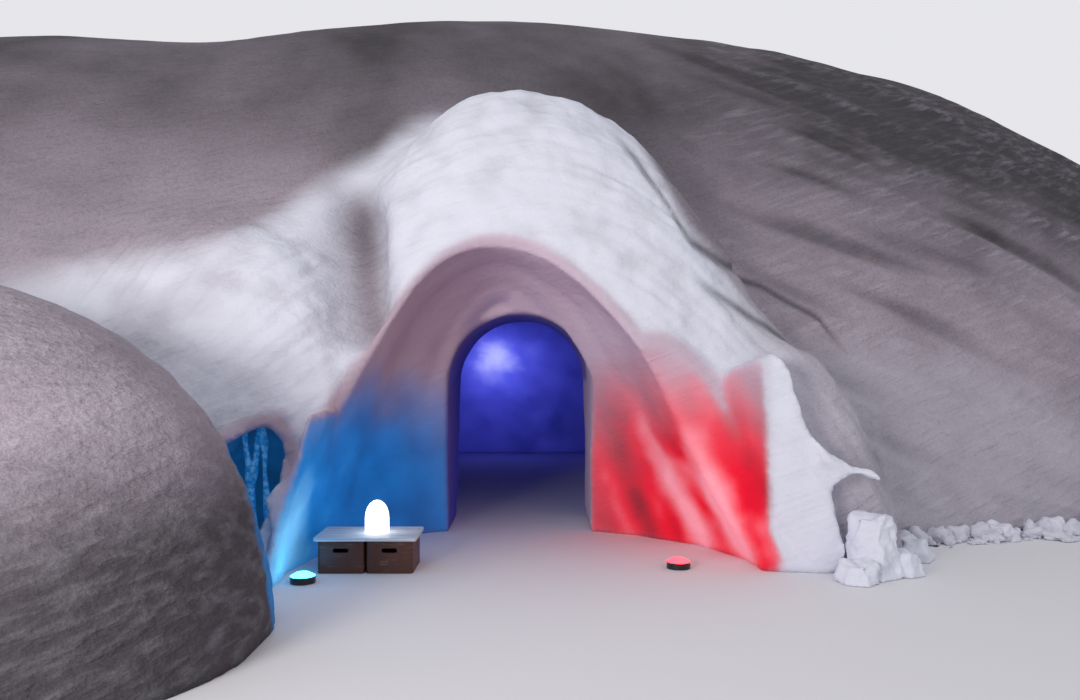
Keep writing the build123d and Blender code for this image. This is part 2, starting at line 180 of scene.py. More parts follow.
def smooth_step(low: float, high: float, value: np.ndarray) -> np.ndarray:
    """A soft step from 0 at low to 1 at high."""
    share = np.clip((value - low) / (high - low), 0.0, 1.0)
    return share * share * (3.0 - 2.0 * share)


def run_together(first: np.ndarray, second: np.ndarray, reach: np.ndarray | float) -> np.ndarray:
    """The higher of two surfaces, rounded where they meet over the reach."""
    share = np.clip(0.5 + 0.5 * (first - second) / reach, 0.0, 1.0)
    return second * (1 - share) + first * share + reach * share * (1 - share)


def mesh_object(name: str, points: np.ndarray | list, faces: list) -> Object:
    """Makes an object from points and faces, with its faces turned outward.

    Args:
        name: The object's name.
        points: Corner positions in metres.
        faces: Corner numbers of each face.

    Returns:
        The new object, linked to the scene.
    """
    mesh = bpy.data.meshes.new(name)
    mesh.from_pydata(np.asarray(points, float).tolist(), [], faces)
    form = bmesh.new()
    form.from_mesh(mesh)
    bmesh.ops.remove_doubles(form, verts=form.verts, dist=1e-6)
    bmesh.ops.recalc_face_normals(form, faces=form.faces)
    form.to_mesh(mesh)
    form.free()
    return placed(name, mesh)


def loft(name: str, rings: np.ndarray) -> Object:
    """Joins closed rings of the same number of points into one closed form.

    Args:
        name: The object's name.
        rings: Points as an array of ring, place on the ring, and axis.

    Returns:
        The closed form.
    """
    count, places = rings.shape[:2]
    number = np.arange(count * places).reshape(count, places)
    turned = np.roll(number, -1, axis=1)
    sides = np.stack([number[:-1], turned[:-1], turned[1:], number[1:]], -1).reshape(-1, 4).tolist()
    ends = [number[0].tolist(), number[-1].tolist()]
    return mesh_object(name, rings.reshape(-1, 3), sides + ends)


def modify(piece: Object, kind: str, **settings: object) -> None:
    """Adds a modifier with its settings and turns what it gives into the piece's mesh.

    Args:
        piece: The piece to change.
        kind: The modifier's type.
        **settings: The modifier's own properties.
    """
    added = piece.modifiers.new(kind.lower(), kind)
    for name, value in settings.items():
        setattr(added, name, value)
    final = bpy.data.meshes.new_from_object(piece.evaluated_get(bpy.context.evaluated_depsgraph_get()))
    plain = piece.data
    piece.modifiers.clear()
    piece.data = final
    bpy.data.meshes.remove(plain)


def combine(piece: Object, other: Object, operation: str) -> None:
    """Adds another closed form to a piece or cuts it out, and removes the other."""
    modify(piece, "BOOLEAN", object=other, operation=operation, solver="MANIFOLD")
    bpy.data.objects.remove(other)


def points_of(piece: Object) -> np.ndarray:
    """A piece's points as an array."""
    return rows_of(piece.data.vertices, "co")


def normals_of(piece: Object) -> np.ndarray:
    """The directions that a piece's points face, as an array."""
    return rows_of(piece.data.vertex_normals, "vector")


def rows_of(items: bpy.types.bpy_prop_collection, name: str) -> np.ndarray:
    """One vector of each of a mesh's items, as an array.

    Args:
        items: The mesh's points or normals.
        name: The name of the vector that each item holds.

    Returns:
        The vectors, one in a row.
    """
    flat = np.empty(len(items) * 3, np.float32)
    items.foreach_get(name, flat)
    return flat.reshape(-1, 3)


def move_points(piece: Object, points: np.ndarray) -> None:
    """Puts a piece's points where the array says."""
    piece.data.vertices.foreach_set("co", points.astype(np.float32).ravel())
    piece.data.update()


def soften(values: np.ndarray, corners: np.ndarray, rounds: int) -> np.ndarray:
    """Evens out values over a mesh, so that no edge in them is as jagged as its triangles.

    Args:
        values: A row of values for each point.
        corners: The three points of each triangle.
        rounds: How often each point takes on half of its neighbours' mean.

    Returns:
        The softer values.
    """
    ends, others = corners[:, [0, 1, 2, 1, 2, 0]].ravel(), corners[:, [1, 2, 0, 0, 1, 2]].ravel()
    count = np.maximum(1, np.bincount(ends, minlength=len(values)))[:, None]
    for _ in range(rounds):
        total = np.column_stack([np.bincount(ends, part[others], len(values)) for part in values.T])
        values = (values + total / count) / 2
    return values


def dress(piece: Object, material: Material) -> None:
    """Gives a piece its only material, and lets it ride.

    Args:
        piece: The piece to dress.
        material: Its only material.
    """
    piece.data.materials.clear()
    piece.data.materials.append(material)
    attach(piece, "root")


class DriftNoise:
    """Seeded gradient noise, worked out for whole arrays of points at once."""

    def __init__(self, seed: int) -> None:
        """Draws the noise's own slopes from a seed.

        Args:
            seed: Any whole number.
        """
        chance = np.random.default_rng(seed)
        self.order = np.tile(chance.permutation(256), 2)
        slopes = chance.normal(size=(256, 3))
        self.slopes = (slopes / np.linalg.norm(slopes, axis=1)[:, None]).astype(np.float32)

    def at(self, points: np.ndarray) -> np.ndarray:
        """Noise of one size at each point.

        Args:
            points: Positions in wavelengths.

        Returns:
            A value for each point, mostly between -0.6 and 0.6.
        """
        floor = np.floor(points)
        part = (points - floor).astype(np.float32)
        cell = floor.astype(np.int64) & 255
        fade = part**3 * (part * (part * 6 - 15) + 10)
        total = np.zeros(len(points), np.float32)
        for corner in range(8):
            step = np.array([corner >> 2 & 1, corner >> 1 & 1, corner & 1])
            place = cell + step
            chosen = self.order[self.order[self.order[place[:, 0] & 255] + (place[:, 1] & 255)] + (place[:, 2] & 255)]
            share = np.prod(np.where(step == 1, fade, 1 - fade), axis=1)
            total += share * np.einsum("ij,ij->i", self.slopes[chosen], part - step.astype(np.float32))
        return total

    def layered(self, points: np.ndarray, layers: int, gain: float = 0.5) -> np.ndarray:
        """Noise in layers, each half the size of the one before.

        Args:
            points: Positions in wavelengths of the largest layer.
            layers: How many sizes there are.
            gain: How strong each layer is beside the one before.

        Returns:
            The sum for each point.
        """
        total = np.zeros(len(points), np.float32)
        for layer in range(layers):
            total += gain**layer * self.at(points * 2.0**layer + 17.3 * layer)
        return total


def roughen(form: Object, seed: int, size: float, depth: float) -> Object:
    """Moves a form's points in and out by noise of a size, and gives the form back.

    Args:
        form: The form to change.
        seed: The noise's seed.
        size: The noise's wavelength in metres.
        depth: How far noise of 1 moves a point outward, in metres.

    Returns:
        The same form.
    """
    points = points_of(form)
    moved = DriftNoise(seed).at(points / size) * depth
    move_points(form, points + normals_of(form) * moved[:, None])
    return form


# Finishes


@dataclass(frozen=True)
class WindPackedSnow:
    """Machine-blown snow, packed by its own weight: matt and mauve-grey where wind has crusted it and darker where
    shade is painted on it, white where it is fresh and the front lamp's light is painted on it, and smoother and
    pinker on the carved walls, where the pink is painted red lamplight.

    The grains are 1 to 2 mm across; their tone and a painted sparkle show as lighter and darker specks. They are made
    at 9 mm, because finer than that they don't show.
    """

    crust: str = "#aa9fac"
    # Dark colour of the painted shade, which the crust's random cloud patches also take.
    shade_and_patches: str = "#4b474c"
    # White of the fresh snow, which also paints the front lamp's light on it and the glints on the ridge crests.
    fresh_and_lit: str = "#dfe1ee"
    # Pinkish colour of the carved walls, whose pink is painted red lamplight.
    carved: str = "#c9b4c4"
    # Dark maroon of the painted shade on the hollows' walls.
    recess_shade: str = "#6e4854"
    # Dark colour of the painted shade in the cracks.
    crack_shade: str = "#3f3c46"
    grain: float = 0.009
    pellet: float = 0.035
    cloud: float = 1.25
    patchiness: float = 0.35
    ridge_width: float = 0.06
    ridge_length: float = 1.7
    ridge_fall: float = 0.36
    ice_ior: float = 1.31
    roughness: float = 0.85

    def material(self, name: str) -> Material:
        """Makes the snow's material.

        The mesh's "snow" layer says how far it is fresh and painted lit, how far carved, how much painted highlight
        its ridge crests take and how much painted shade it takes. Its layer of cracks says where the crust has parted
        and takes painted shade, and its "wash" and "glow" layers say what the lamps throw on it.

        Args:
            name: The material's name.

        Returns:
            The material.
        """
        made, tree = blank_material(name)
        place = add_node(tree, "TexCoord").outputs["Object"]
        kinds = add_node(tree, "Attribute", attribute_name="snow").outputs
        fresh_and_lit, carved, crest_highlight = add_node(tree, "SeparateColor", {0: kinds["Color"]}).outputs[:3]
        crack_shade = add_node(tree, "Attribute", attribute_name="crack_shade").outputs["Fac"]
        wash = add_node(tree, "Attribute", attribute_name="wash").outputs
        glow = add_node(tree, "Attribute", attribute_name="glow").outputs["Fac"]
        ridges = self.ridges(tree, place)
        grain = add_node(tree, "TexNoise", {"Vector": place, "Scale": 1 / self.grain, "Detail": 1.0})
        pellets = add_node(tree, "TexNoise", {"Vector": place, "Scale": 1 / self.pellet, "Detail": 3.0})
        clouds = add_node(tree, "TexNoise", {"Vector": place, "Scale": 1 / self.cloud, "Detail": 4.0})
        # Each range runs from where its noise begins to show to where it shows in full.
        patch = add_node(tree, "MapRange", {"Value": clouds, "From Min": 0.35, "From Max": 0.7})
        # Random cloud patches of darker crust, added to the painted shade.
        shade_and_patches = add_node(tree, "Math", {0: patch, 1: self.patchiness, 2: kinds["Alpha"]}, operation="MULTIPLY_ADD")
        # Painted highlights on the ridge crests, as far as the snow layer's crest share allows them.
        glint = add_node(tree, "MapRange", {"Value": ridges, "From Min": 0.45, "From Max": 0.75, "To Max": 0.32})
        glint = add_node(tree, "Math", {0: glint, 1: crest_highlight}, operation="MULTIPLY")
        # Grain specks lighter and darker: the grains' tone and a painted sparkle.
        lit = {"Value": grain, "From Min": 0.3, "From Max": 0.7, "To Min": 0.84, "To Max": 1.14}
        pitted = {"Value": pellets, "From Min": 0.3, "From Max": 0.55, "To Min": 0.88, "To Max": 1.0}
        sparkle, pits = add_node(tree, "MapRange", lit), add_node(tree, "MapRange", pitted)
        speckle = add_node(tree, "Math", {0: sparkle, 1: pits}, operation="MULTIPLY")
        colour = add_node(tree, "Mix", {0: shade_and_patches, 6: self.crust, 7: self.shade_and_patches}, data_type="RGBA")
        colour = add_node(tree, "Mix", {0: glint, 6: colour, 7: self.fresh_and_lit}, data_type="RGBA")
        colour = add_node(tree, "Mix", {0: 1.0, 6: colour, 7: speckle}, data_type="RGBA", blend_type="MULTIPLY")
        # The carved walls take painted shade towards the dark maroon where the snow layer's shade share is high.
        walls = add_node(tree, "Mix", {0: kinds["Alpha"], 6: self.carved, 7: self.recess_shade}, data_type="RGBA")
        covers = ((fresh_and_lit, self.fresh_and_lit), (carved, walls), (crack_shade, self.crack_shade), (wash["Alpha"], wash["Color"]))
        for share, cover in covers:
            colour = add_node(tree, "Mix", {0: share, 6: colour, 7: cover}, data_type="RGBA")
        shader = {
            "Base Color": colour,
            "Roughness": self.roughness,
            "IOR": self.ice_ior,
            "Normal": self.relief(tree, (grain, pellets, ridges), fresh_and_lit, carved),
            "Emission Color": wash["Color"],
            "Emission Strength": glow,
        }
        add_node(tree, "OutputMaterial", {"Surface": add_node(tree, "BsdfPrincipled", shader)})
        return made

    def ridges(self, tree: NodeTree, place: NodeSocket) -> Node:
        """Thin wind ridges, about 75 mm apart, that run down to the right across the slope.

        Args:
            tree: The material's node tree.
            place: Position in metres.

        Returns:
            The noise whose values are the ridges' height, from 0 to 1.
        """
        turned = add_node(tree, "Mapping", {"Vector": place, "Rotation": (0.0, self.ridge_fall, 0.0)})
        fineness = (1 / self.ridge_length, 0.4 / self.ridge_width, 1 / self.ridge_width)
        drawn_out = add_node(tree, "VectorMath", {0: turned, 1: fineness}, operation="MULTIPLY")
        rough = {"Vector": drawn_out, "Scale": 1.0, "Detail": 3.0, "Roughness": 0.55, "Distortion": 0.12}
        return add_node(tree, "TexNoise", rough)

    def relief(self, tree: NodeTree, heights: tuple[Node, Node, Node], fresh_and_lit: NodeSocket, carved: NodeSocket) -> Node:
        """The snow's bump: grains everywhere, with pellets and ridges where the wind has worked on it.

        Args:
            tree: The material's node tree.
            heights: The noises of the grains, the pellets and the ridges.
            fresh_and_lit: How fresh the snow is.
            carved: How much of it is a carved wall.

        Returns:
            The last bump.
        """
        grain, pellets, ridges = heights
        calm = add_node(tree, "Math", {0: fresh_and_lit, 1: carved}, operation="MAXIMUM")
        rough = add_node(tree, "MapRange", {"Value": calm, "To Min": 0.9, "To Max": 0.42})
        bump = add_node(tree, "Bump", {"Height": grain, "Strength": 0.3, "Distance": 0.004})
        for height, depth in ((pellets, 0.012), (ridges, 0.035)):
            bump = add_node(tree, "Bump", {"Height": height, "Strength": rough, "Distance": depth, "Normal": bump})
        return bump


@dataclass(frozen=True)
class PatchedFinish:
    """A surface of one colour with patches of another over it, which stand up a little.

    Fineness is how many patches there are to a metre along each axis, and the patches begin to show at the lower end
    of their range in the noise and cover the surface at its upper end.
    """

    base: str
    patch: str
    ior: float
    roughness: float
    fineness: tuple[float, float, float]
    layers: float
    harshness: float
    shown: tuple[float, float]
    bump: float
    bump_depth: float
    glow: float = 0.0

    def material(self, name: str) -> Material:
        """Makes the finish's material.

        Args:
            name: The material's name.

        Returns:
            The material.
        """
        made, tree = blank_material(name)
        place = add_node(tree, "TexCoord").outputs["Object"]
        crest_highlight = add_node(tree, "VectorMath", {0: place, 1: self.fineness}, operation="MULTIPLY")
        spread = {"Vector": crest_highlight, "Scale": 1.0, "Detail": self.layers, "Roughness": self.harshness}
        patches = add_node(tree, "TexNoise", spread)
        share = add_node(tree, "MapRange", {"Value": patches, "From Min": self.shown[0], "From Max": self.shown[1]})
        shader = {
            "Base Color": add_node(tree, "Mix", {0: share, 6: self.base, 7: self.patch}, data_type="RGBA"),
            "Roughness": self.roughness,
            "IOR": self.ior,
            "Normal": add_node(tree, "Bump", {"Height": patches, "Strength": self.bump, "Distance": self.bump_depth}),
            "Emission Color": self.base,
            "Emission Strength": self.glow,
        }
        add_node(tree, "OutputMaterial", {"Surface": add_node(tree, "BsdfPrincipled", shader)})
        return made


@dataclass(frozen=True)
class BlueLitIce(PatchedFinish):
    """Refrozen meltwater in the strands: clear ice, wet-looking, with the blue lamp's light painted on it as a glowing
    blue, and paler patches of about 40 mm.
    """

    base: str = "#1c7cc4"
    patch: str = "#9ad4f4"
    ior: float = 1.31
    roughness: float = 0.22
    fineness: tuple[float, float, float] = (25.0, 25.0, 25.0)
    layers: float = 3.0
    harshness: float = 0.5
    shown: tuple[float, float] = (0.42, 0.62)
    bump: float = 0.4
    bump_depth: float = 0.006
    # A glow that paints the blue lamp's light on the strands.
    glow: float = 0.25


@dataclass(frozen=True)
class ScuffedPlastic(PatchedFinish):
    """Moulded polypropylene of a crate: satin, with pale scuffs about 60 mm long where it has rubbed."""

    base: str = "#4d2a1d"
    patch: str = "#8a6a58"
    ior: float = 1.49
    roughness: float = 0.46
    fineness: tuple[float, float, float] = (0.4 / 0.06, 0.4 / 0.06, 2.2 / 0.06)
    layers: float = 5.0
    harshness: float = 0.7
    shown: tuple[float, float] = (0.55, 0.8)
    bump: float = 0.2
    bump_depth: float = 0.001


@dataclass(frozen=True)
class FrostedBoard(PatchedFinish):
    """A painted softwood board: its grain, 6 mm apart along X, shows through thin paint, with frost along it."""

    base: str = "#9fb0bd"
    patch: str = "#e4ecf2"
    ior: float = 1.5
    roughness: float = 0.6
    fineness: tuple[float, float, float] = (2.0, 1 / 0.006, 1 / 0.006)
    layers: float = 3.0
    harshness: float = 0.5
    shown: tuple[float, float] = (0.4, 0.65)
    bump: float = 0.3
    bump_depth: float = 0.001


@dataclass(frozen=True)
class LitOpal:
    """Opal polyethylene lit from inside: an even glow that dims a little towards its foot."""

    glow: str
    strength: float
    foot: float
    height: float
    rim: str = "#16171b"
    ior: float = 1.51
    roughness: float = 0.35

    def material(self, name: str) -> Material:
        """Makes the glowing material, dark below the lens.

        Args:
            name: The material's name.

        Returns:
            The material.
        """
        made, tree = blank_material(name)
        place = add_node(tree, "TexCoord").outputs["Object"]
        level = add_node(tree, "SeparateXYZ", {0: place}).outputs["Z"]
        lit = add_node(tree, "MapRange", {"Value": level, "From Min": self.foot, "From Max": self.foot + self.height})
        shader = {
            "Base Color": add_node(tree, "Mix", {0: lit, 6: self.rim, 7: self.glow}, data_type="RGBA"),
            "Roughness": self.roughness,
            "IOR": self.ior,
            "Emission Color": self.glow,
            "Emission Strength": add_node(tree, "Math", {0: lit, 1: self.strength}, operation="MULTIPLY"),
        }
        add_node(tree, "OutputMaterial", {"Surface": add_node(tree, "BsdfPrincipled", shader)})
        return made


# Form of the mound


@dataclass(frozen=True)
class Heap:
    """One rounded heap of blown snow, an oval in plan turned about the upright axis."""

    x: float
    y: float
    half_length: float
    half_depth: float
    turn: float
    height: float
    end_fullness: float
    side_fullness: float

    def top(self, x: np.ndarray, y: np.ndarray) -> np.ndarray:
        """Height of the heap above the ground, below zero outside its foot.

        Args:
            x: Sideways places of the points, in the heaps' own frame.
            y: Their rows.

        Returns:
            The height over each place, in metres.
        """
        along = (x - self.x) * cos(radians(self.turn)) + (y - self.y) * sin(radians(self.turn))
        across = (y - self.y) * cos(radians(self.turn)) - (x - self.x) * sin(radians(self.turn))
        fall_along = np.abs(along / self.half_length) ** self.end_fullness
        fall_across = np.abs(across / self.half_depth) ** self.side_fullness
        return self.height * (1 - fall_along - fall_across)


@dataclass
class Mound:
    """The outside of the mound, as heaps that run together, in the heaps' own frame."""

    crest: Heap = Heap(1.06, 1.13, 11.8, 4.55, 15.8, 5.55, 2.43, 2.14)
    shoulder: Heap = Heap(-6.31, 0.36, 5.37, 5.58, 7.7, 5.07, 2.4, 2.0)
    hood: Heap = Heap(-0.06, -2.4, 2.95, 1.8, 0, 3.85, 2.15, 2.5)
    hood_left: Heap = Heap(-0.06, -2.4, 2.3, 1.8, 0, 3.85, 2.15, 2.5)
    wing: Heap = Heap(-2.45, -3.1, 1.85, 1.4, -5, 2.6, 2.6, 2.2)
    cheek: Heap = Heap(1.9, -3.05, 1.15, 0.96, 0, 1.7, 2.6, 3.4)
    hollow: Heap = Heap(2.0, -1.7, 1.3, 0.9, 20, 0.35, 2.0, 2.0)
    left_end: float = -11.56
    right_end: float = 12.26
    ground: float = -0.6
    ground_blend: float = 0.25
    shoulder_blend: float = 1.8
    hood_blend: tuple[float, float] = (0.25, 0.65)
    wing_blend: float = 0.6
    cheek_blend: float = 0.5
    stations: int = 280
    rows: int = 220
    crowding: tuple[float, float] = (0.45, 0.7)

    def top(self, x: np.ndarray, y: np.ndarray) -> np.ndarray:
        """Height of the snow over each place on the ground.

        Args:
            x: Sideways places of the points, in the heaps' own frame.
            y: Their rows.

        Returns:
            The height over each place, in metres.
        """
        level = run_together(self.crest.top(x, y), self.shoulder.top(x, y), self.shoulder_blend)
        level = level - np.maximum(0.0, self.hollow.top(x, y)) ** 2 / self.hollow.height
        leftness = np.clip(-x / self.hood.half_length, 0.0, 1.0)
        level = run_together(level, self.hood_top(x, y), self.hood_blend[0] + self.hood_blend[1] * leftness)
        level = run_together(level, self.wing.top(x, y), self.wing_blend)
        level = run_together(level, self.cheek.top(x, y), self.cheek_blend)
        return run_together(level, np.full_like(level, self.ground), self.ground_blend)

    def hood_top(self, x: np.ndarray, y: np.ndarray) -> np.ndarray:
        """Height of the hood, which falls more steeply to the left."""
        return np.where(x > self.hood.x, self.hood.top(x, y), self.hood_left.top(x, y))

    def hood_share(self, x: np.ndarray, y: np.ndarray) -> np.ndarray:
        """How much the hood stands over the mound behind it, from 0 to 1.

        Args:
            x: Sideways places of the points, in the heaps' own frame.
            y: Their rows.

        Returns:
            The hood's share at each place.
        """
        behind = np.maximum(self.crest.top(x, y), self.shoulder.top(x, y))
        before = np.maximum(self.hood_top(x, y), np.maximum(self.wing.top(x, y), self.cheek.top(x, y)))
        return smooth_step(-0.35, 0.3, before - behind)

    def feet(self, x: np.ndarray) -> tuple[np.ndarray, np.ndarray]:
        """Where the snow meets the ground in front and behind, at each station.

        The ridge is looked for in rows 0.2 m apart. From it, steps of 50 mm lead outward to the first that is bare,
        and 25 halvings then close in on the snow's edge.

        Args:
            x: The stations, as sideways places in the heaps' own frame.

        Returns:
            The front and the back row of the snow's edge at each station.
        """
        rows = np.linspace(-11.8, 11.8, 121)
        ridge = rows[np.argmax(self.top(x[:, None] + 0 * rows, rows + 0 * x[:, None]), axis=1)]
        found = []
        for side in (-1, 1):
            reach = np.arange(0, 12, 0.05)
            places = ridge[:, None] + side * reach
            level = self.top(x[:, None] + 0 * places, places)
            first = np.argmax(level <= 0, axis=1)
            inside = places[np.arange(len(x)), first - 1]
            outside = places[np.arange(len(x)), first]
            for _ in range(25):
                middle = (inside + outside) / 2
                above = self.top(x, middle) > 0
                inside = np.where(above, middle, inside)
                outside = np.where(above, outside, middle)
            found.append((inside + outside) / 2)
        return found[0], found[1]

    def body(self) -> Object:
        """The closed mound, finely divided over the portal.

        Returns:
            The mound, not yet hollow.
        """
        share = np.linspace(-1, 1, self.stations)
        share = share - self.crowding[0] * np.sin(2 * pi * share) / (2 * pi)
        x = (self.left_end + self.right_end) / 2 + (self.right_end - self.left_end) / 2 * share
        front, back = self.feet(x)
        across = np.linspace(0, 1, self.rows)
        across = across - self.crowding[1] * np.sin(2 * pi * across) / (2 * pi)
        y = front[:, None] + (back - front)[:, None] * across
        x = np.repeat(x[:, None], self.rows, axis=1)
        z = np.maximum(0.001, self.top(x, y))
        z[:, 0] = z[:, -1] = 0.0
        return loft("mound_body", np.stack([x, y, z], -1))


def arch(half_width: np.ndarray | float, top: np.ndarray | float, lean: float = 0.0) -> tuple[np.ndarray, np.ndarray]:
    """A hanging chain's curve turned upright, closed below the ground.

    Args:
        half_width: Half the arch's width at the ground.
        top: Its height.
        lean: How far it leans sideways for each metre of height.

    Returns:
        Sideways and upright places along the closed outline.
    """
    share = -np.cos(pi * np.linspace(0, 1, 49))
    rise = top * (1 - (np.cosh(CHAIN_BEND * share) - 1) / (cosh(CHAIN_BEND) - 1))
    side = half_width * share + lean * rise
    return np.append(side, [half_width, -half_width]), np.append(rise, [BELOW_GROUND] * 2)


def beyond_arch(
    side: np.ndarray, rise: np.ndarray, half_width: np.ndarray | float, top: np.ndarray | float, lean: float = 0.0
) -> np.ndarray:
    """About how far points are outside an arch's curve, below zero inside it.

    Args:
        side: Sideways places of the points from the arch's middle at the ground.
        rise: Their heights.
        half_width: Half the arch's width at the ground.
        top: Its height.
        lean: How far it leans sideways for each metre of height.

    Returns:
        The distance in metres for each point.
    """
    upright = side - lean * rise
    bend = cosh(CHAIN_BEND) - 1
    chain = top * (1 - (np.cosh(CHAIN_BEND * np.clip(upright / half_width, -1.3, 1.3)) - 1) / bend)
    reach = half_width * np.arccosh(1 + np.clip(1 - rise / top, 0, 1) * bend) / CHAIN_BEND
    return np.where(rise < top, np.minimum(rise - chain, np.abs(upright) - reach), rise - chain)


@dataclass
class Hollows:
    """The spaces in the mound: hall, passage, portal vault and niche, in the heaps' own frame."""

    hall_length: float = 11.0
    hall_width: float = 5.8
    hall_height: float = 4.0
    hall_y: float = 1.2
    passage_width: float = 1.24
    passage_height: float = 1.9
    passage_front: float = -2.55
    overlap: float = 0.3
    mouth: float = -4.75
    mouth_width: float = 3.4
    mouth_height: float = 2.45
    portal_x: float = 0.15
    portal_lean: float = -0.09
    flare_x: float = 1.15
    flare_y: float = -4.35
    flare_width: float = 1.4
    flare_depth: float = 1.5
    flare_height: float = 1.9
    flare_fullness: float = 4.0
    niche_x: float = -2.37
    niche_y: float = -3.95
    niche_width: float = 1.2
    niche_depth: float = 1.9
    niche_height: float = 1.05
    niche_lean: float = 0.6
    portal_inward: tuple = (0.0, 0.3, 0.52, 0.75, 0.92, 1.0)
    portal_widths: tuple = (1.02, 1.0, 0.96, 0.84, 0.6, 0.4)
    portal_heights: tuple = (1.12, 1.0, 0.96, 0.93, 0.87, 0.8)
    niche_inward: tuple = (-0.5, -0.2, 0.15, 0.38, 0.5)
    niche_widths: tuple = (0.75, 1.0, 0.95, 0.7, 0.3)

    def hall(self) -> Object:
        """The hall, straight in the middle and domed at its ends.

        Returns:
            The hall's space as a closed form.
        """
        centre = (self.hall_length - self.hall_width) / 2
        reach = centre + self.hall_width / 2 * np.sin(np.linspace(0, 1.5, 22))
        rings = []
        for place in np.concatenate([-reach[::-1], reach]):
            beyond = max(0.0, abs(place) - centre)
            half = sqrt((self.hall_width / 2) ** 2 - beyond**2)
            fall = (cosh(CHAIN_BEND * beyond / (self.hall_width / 2)) - 1) / (cosh(CHAIN_BEND) - 1)
            side, rise = arch(half, self.hall_height * (1 - fall))
            rings.append(np.stack([np.full_like(side, place), self.hall_y + side, rise], -1))
        return loft("hall_space", np.array(rings))

    def passage(self) -> Object:
        """The passage, with upright jambs and a round head.

        Returns:
            The passage's space as a closed form.
        """
        radius = self.passage_width / 2
        turn = np.linspace(pi, 0, 48)
        side = np.append(radius * np.cos(turn), [radius, -radius])
        rise = np.append(self.passage_height - radius + radius * np.sin(turn), [BELOW_GROUND] * 2)
        rows = (self.passage_front - self.overlap, self.hall_y - self.hall_width / 4)
        return loft("passage_space", np.array([np.stack([side, np.full_like(side, y), rise], -1) for y in rows]))

    def portal(self) -> Object:
        """The portal vault, an apse that opens outward.

        Returns:
            The portal's space as a closed form.
        """
        rings = []
        for inward in np.linspace(0, 1, 40):
            width, height, middle, y = self.portal_at(inward)
            side, rise = arch(float(width), float(height), self.portal_lean)
            rings.append(np.stack([middle + side, np.full_like(side, y), rise], -1))
        return roughen(loft("portal_space", np.array(rings)), Seed.PORTAL, 0.55, 0.07)

    def portal_at(self, inward: np.ndarray | float) -> tuple:
        """Half width, height, middle and row of the portal vault at a share of its depth.

        Args:
            inward: The share of the depth, 0 at the mouth and 1 at the passage.

        Returns:
            The four sizes there, in metres.
        """
        width = self.mouth_width / 2 * np.interp(inward, self.portal_inward, self.portal_widths)
        height = self.mouth_height * np.interp(inward, self.portal_inward, self.portal_heights)
        return width, height, self.portal_x * (1 - inward), self.mouth + (self.passage_front - self.mouth) * inward

    def niche(self) -> Object:
        """The niche, a rounded scoop that leans towards the portal.

        Returns:
            The niche's space as a closed form.
        """
        rings = []
        for inward in np.linspace(-0.5, 0.5, 30):
            share = float(np.interp(inward, self.niche_inward, self.niche_widths))
            side, rise = arch(self.niche_width / 2 * share, self.niche_height * sqrt(share), self.niche_lean)
            y = self.niche_y + self.niche_depth * inward
            rings.append(np.stack([self.niche_x + side, np.full_like(side, y), rise], -1))
        return roughen(loft("niche_space", np.array(rings)), Seed.NICHE, 0.3, 0.12)

    def flare(self) -> Object:
        """The flare, a tall scoop out of the portal's right jamb.

        Returns:
            The flare's space as a closed form.
        """
        turn = np.linspace(0, 2 * pi, 64, endpoint=False)
        rings = []
        for level in np.concatenate([[-0.15], np.sin(np.linspace(0, pi / 2, 24) * 0.97)]):
            share = (1 - max(0.0, level) ** self.flare_fullness) ** (1 / self.flare_fullness)
            x = self.flare_x + self.flare_width / 2 * share * np.cos(turn)
            y = self.flare_y + self.flare_depth / 2 * share * np.sin(turn)
            rings.append(np.stack([x, y, np.full_like(x, self.flare_height * level)], -1))
        return roughen(loft("flare_space", np.array(rings)), Seed.FLARE, 0.4, 0.07)

    def inside(self, points: np.ndarray, margin: float = 0.05, fade: float = 0.1) -> np.ndarray:
        """How far points belong to the walls of the spaces and not to the outside of the mound.

        Args:
            points: Positions in the heaps' own frame.
            margin: How far beyond the space a wall's points may lie.
            fade: Over how much more than that the share falls away.

        Returns:
            1 on the walls of the spaces and 0 elsewhere, soft between.
        """
        x, y, z = points.T
        inward = np.clip((y - self.mouth) / (self.passage_front - self.mouth), 0, 1)
        width, height, middle, _ = self.portal_at(inward)
        portal = beyond_arch(x - middle, z, width, height, self.portal_lean)
        portal = np.where((y < self.passage_front + 0.25) & (y > self.mouth - 0.3), portal, 1.0)
        passage = np.maximum(np.abs(x) - self.passage_width / 2, z - self.passage_height)
        passage = np.where((y > -2.9) & (y < 0), passage, 1.0)
        dome = self.hall_width / 2
        beyond = np.minimum(1.05, np.maximum(0.0, np.abs(x) - (self.hall_length / 2 - dome)) / dome)
        half = dome * np.sqrt(np.maximum(0.01, 1 - beyond**2))
        fall = (np.cosh(CHAIN_BEND * beyond) - 1) / (cosh(CHAIN_BEND) - 1)
        hall = beyond_arch(y - self.hall_y, z, half, np.maximum(0.2, self.hall_height * (1 - fall))) - 0.1
        hall = np.where(beyond < 1.03, hall, 1.0)
        share = (1 - np.minimum(1.0, z / self.flare_height) ** self.flare_fullness) ** (1 / self.flare_fullness)
        oval = ((x - self.flare_x) / (self.flare_width / 2)) ** 2 + ((y - self.flare_y) / (self.flare_depth / 2)) ** 2
        flare = (np.sqrt(oval) - share) * self.flare_width / 2 + np.where(share < 0.05, 1.0, 0.0)
        flare += 3 * np.maximum(0.0, x - 1.76)
        share = np.interp((y - self.niche_y) / self.niche_depth, self.niche_inward, self.niche_widths)
        niche = beyond_arch(
            x - self.niche_x, z, self.niche_width / 2 * share, self.niche_height * np.sqrt(share), self.niche_lean
        )
        niche = np.where((y > self.niche_y - 0.3) & (y < -2.9), niche, 1.0)
        nearest = np.minimum.reduce([portal, passage, hall, flare, niche])
        return (1 - smooth_step(margin, margin + fade, nearest)).astype(np.float32)


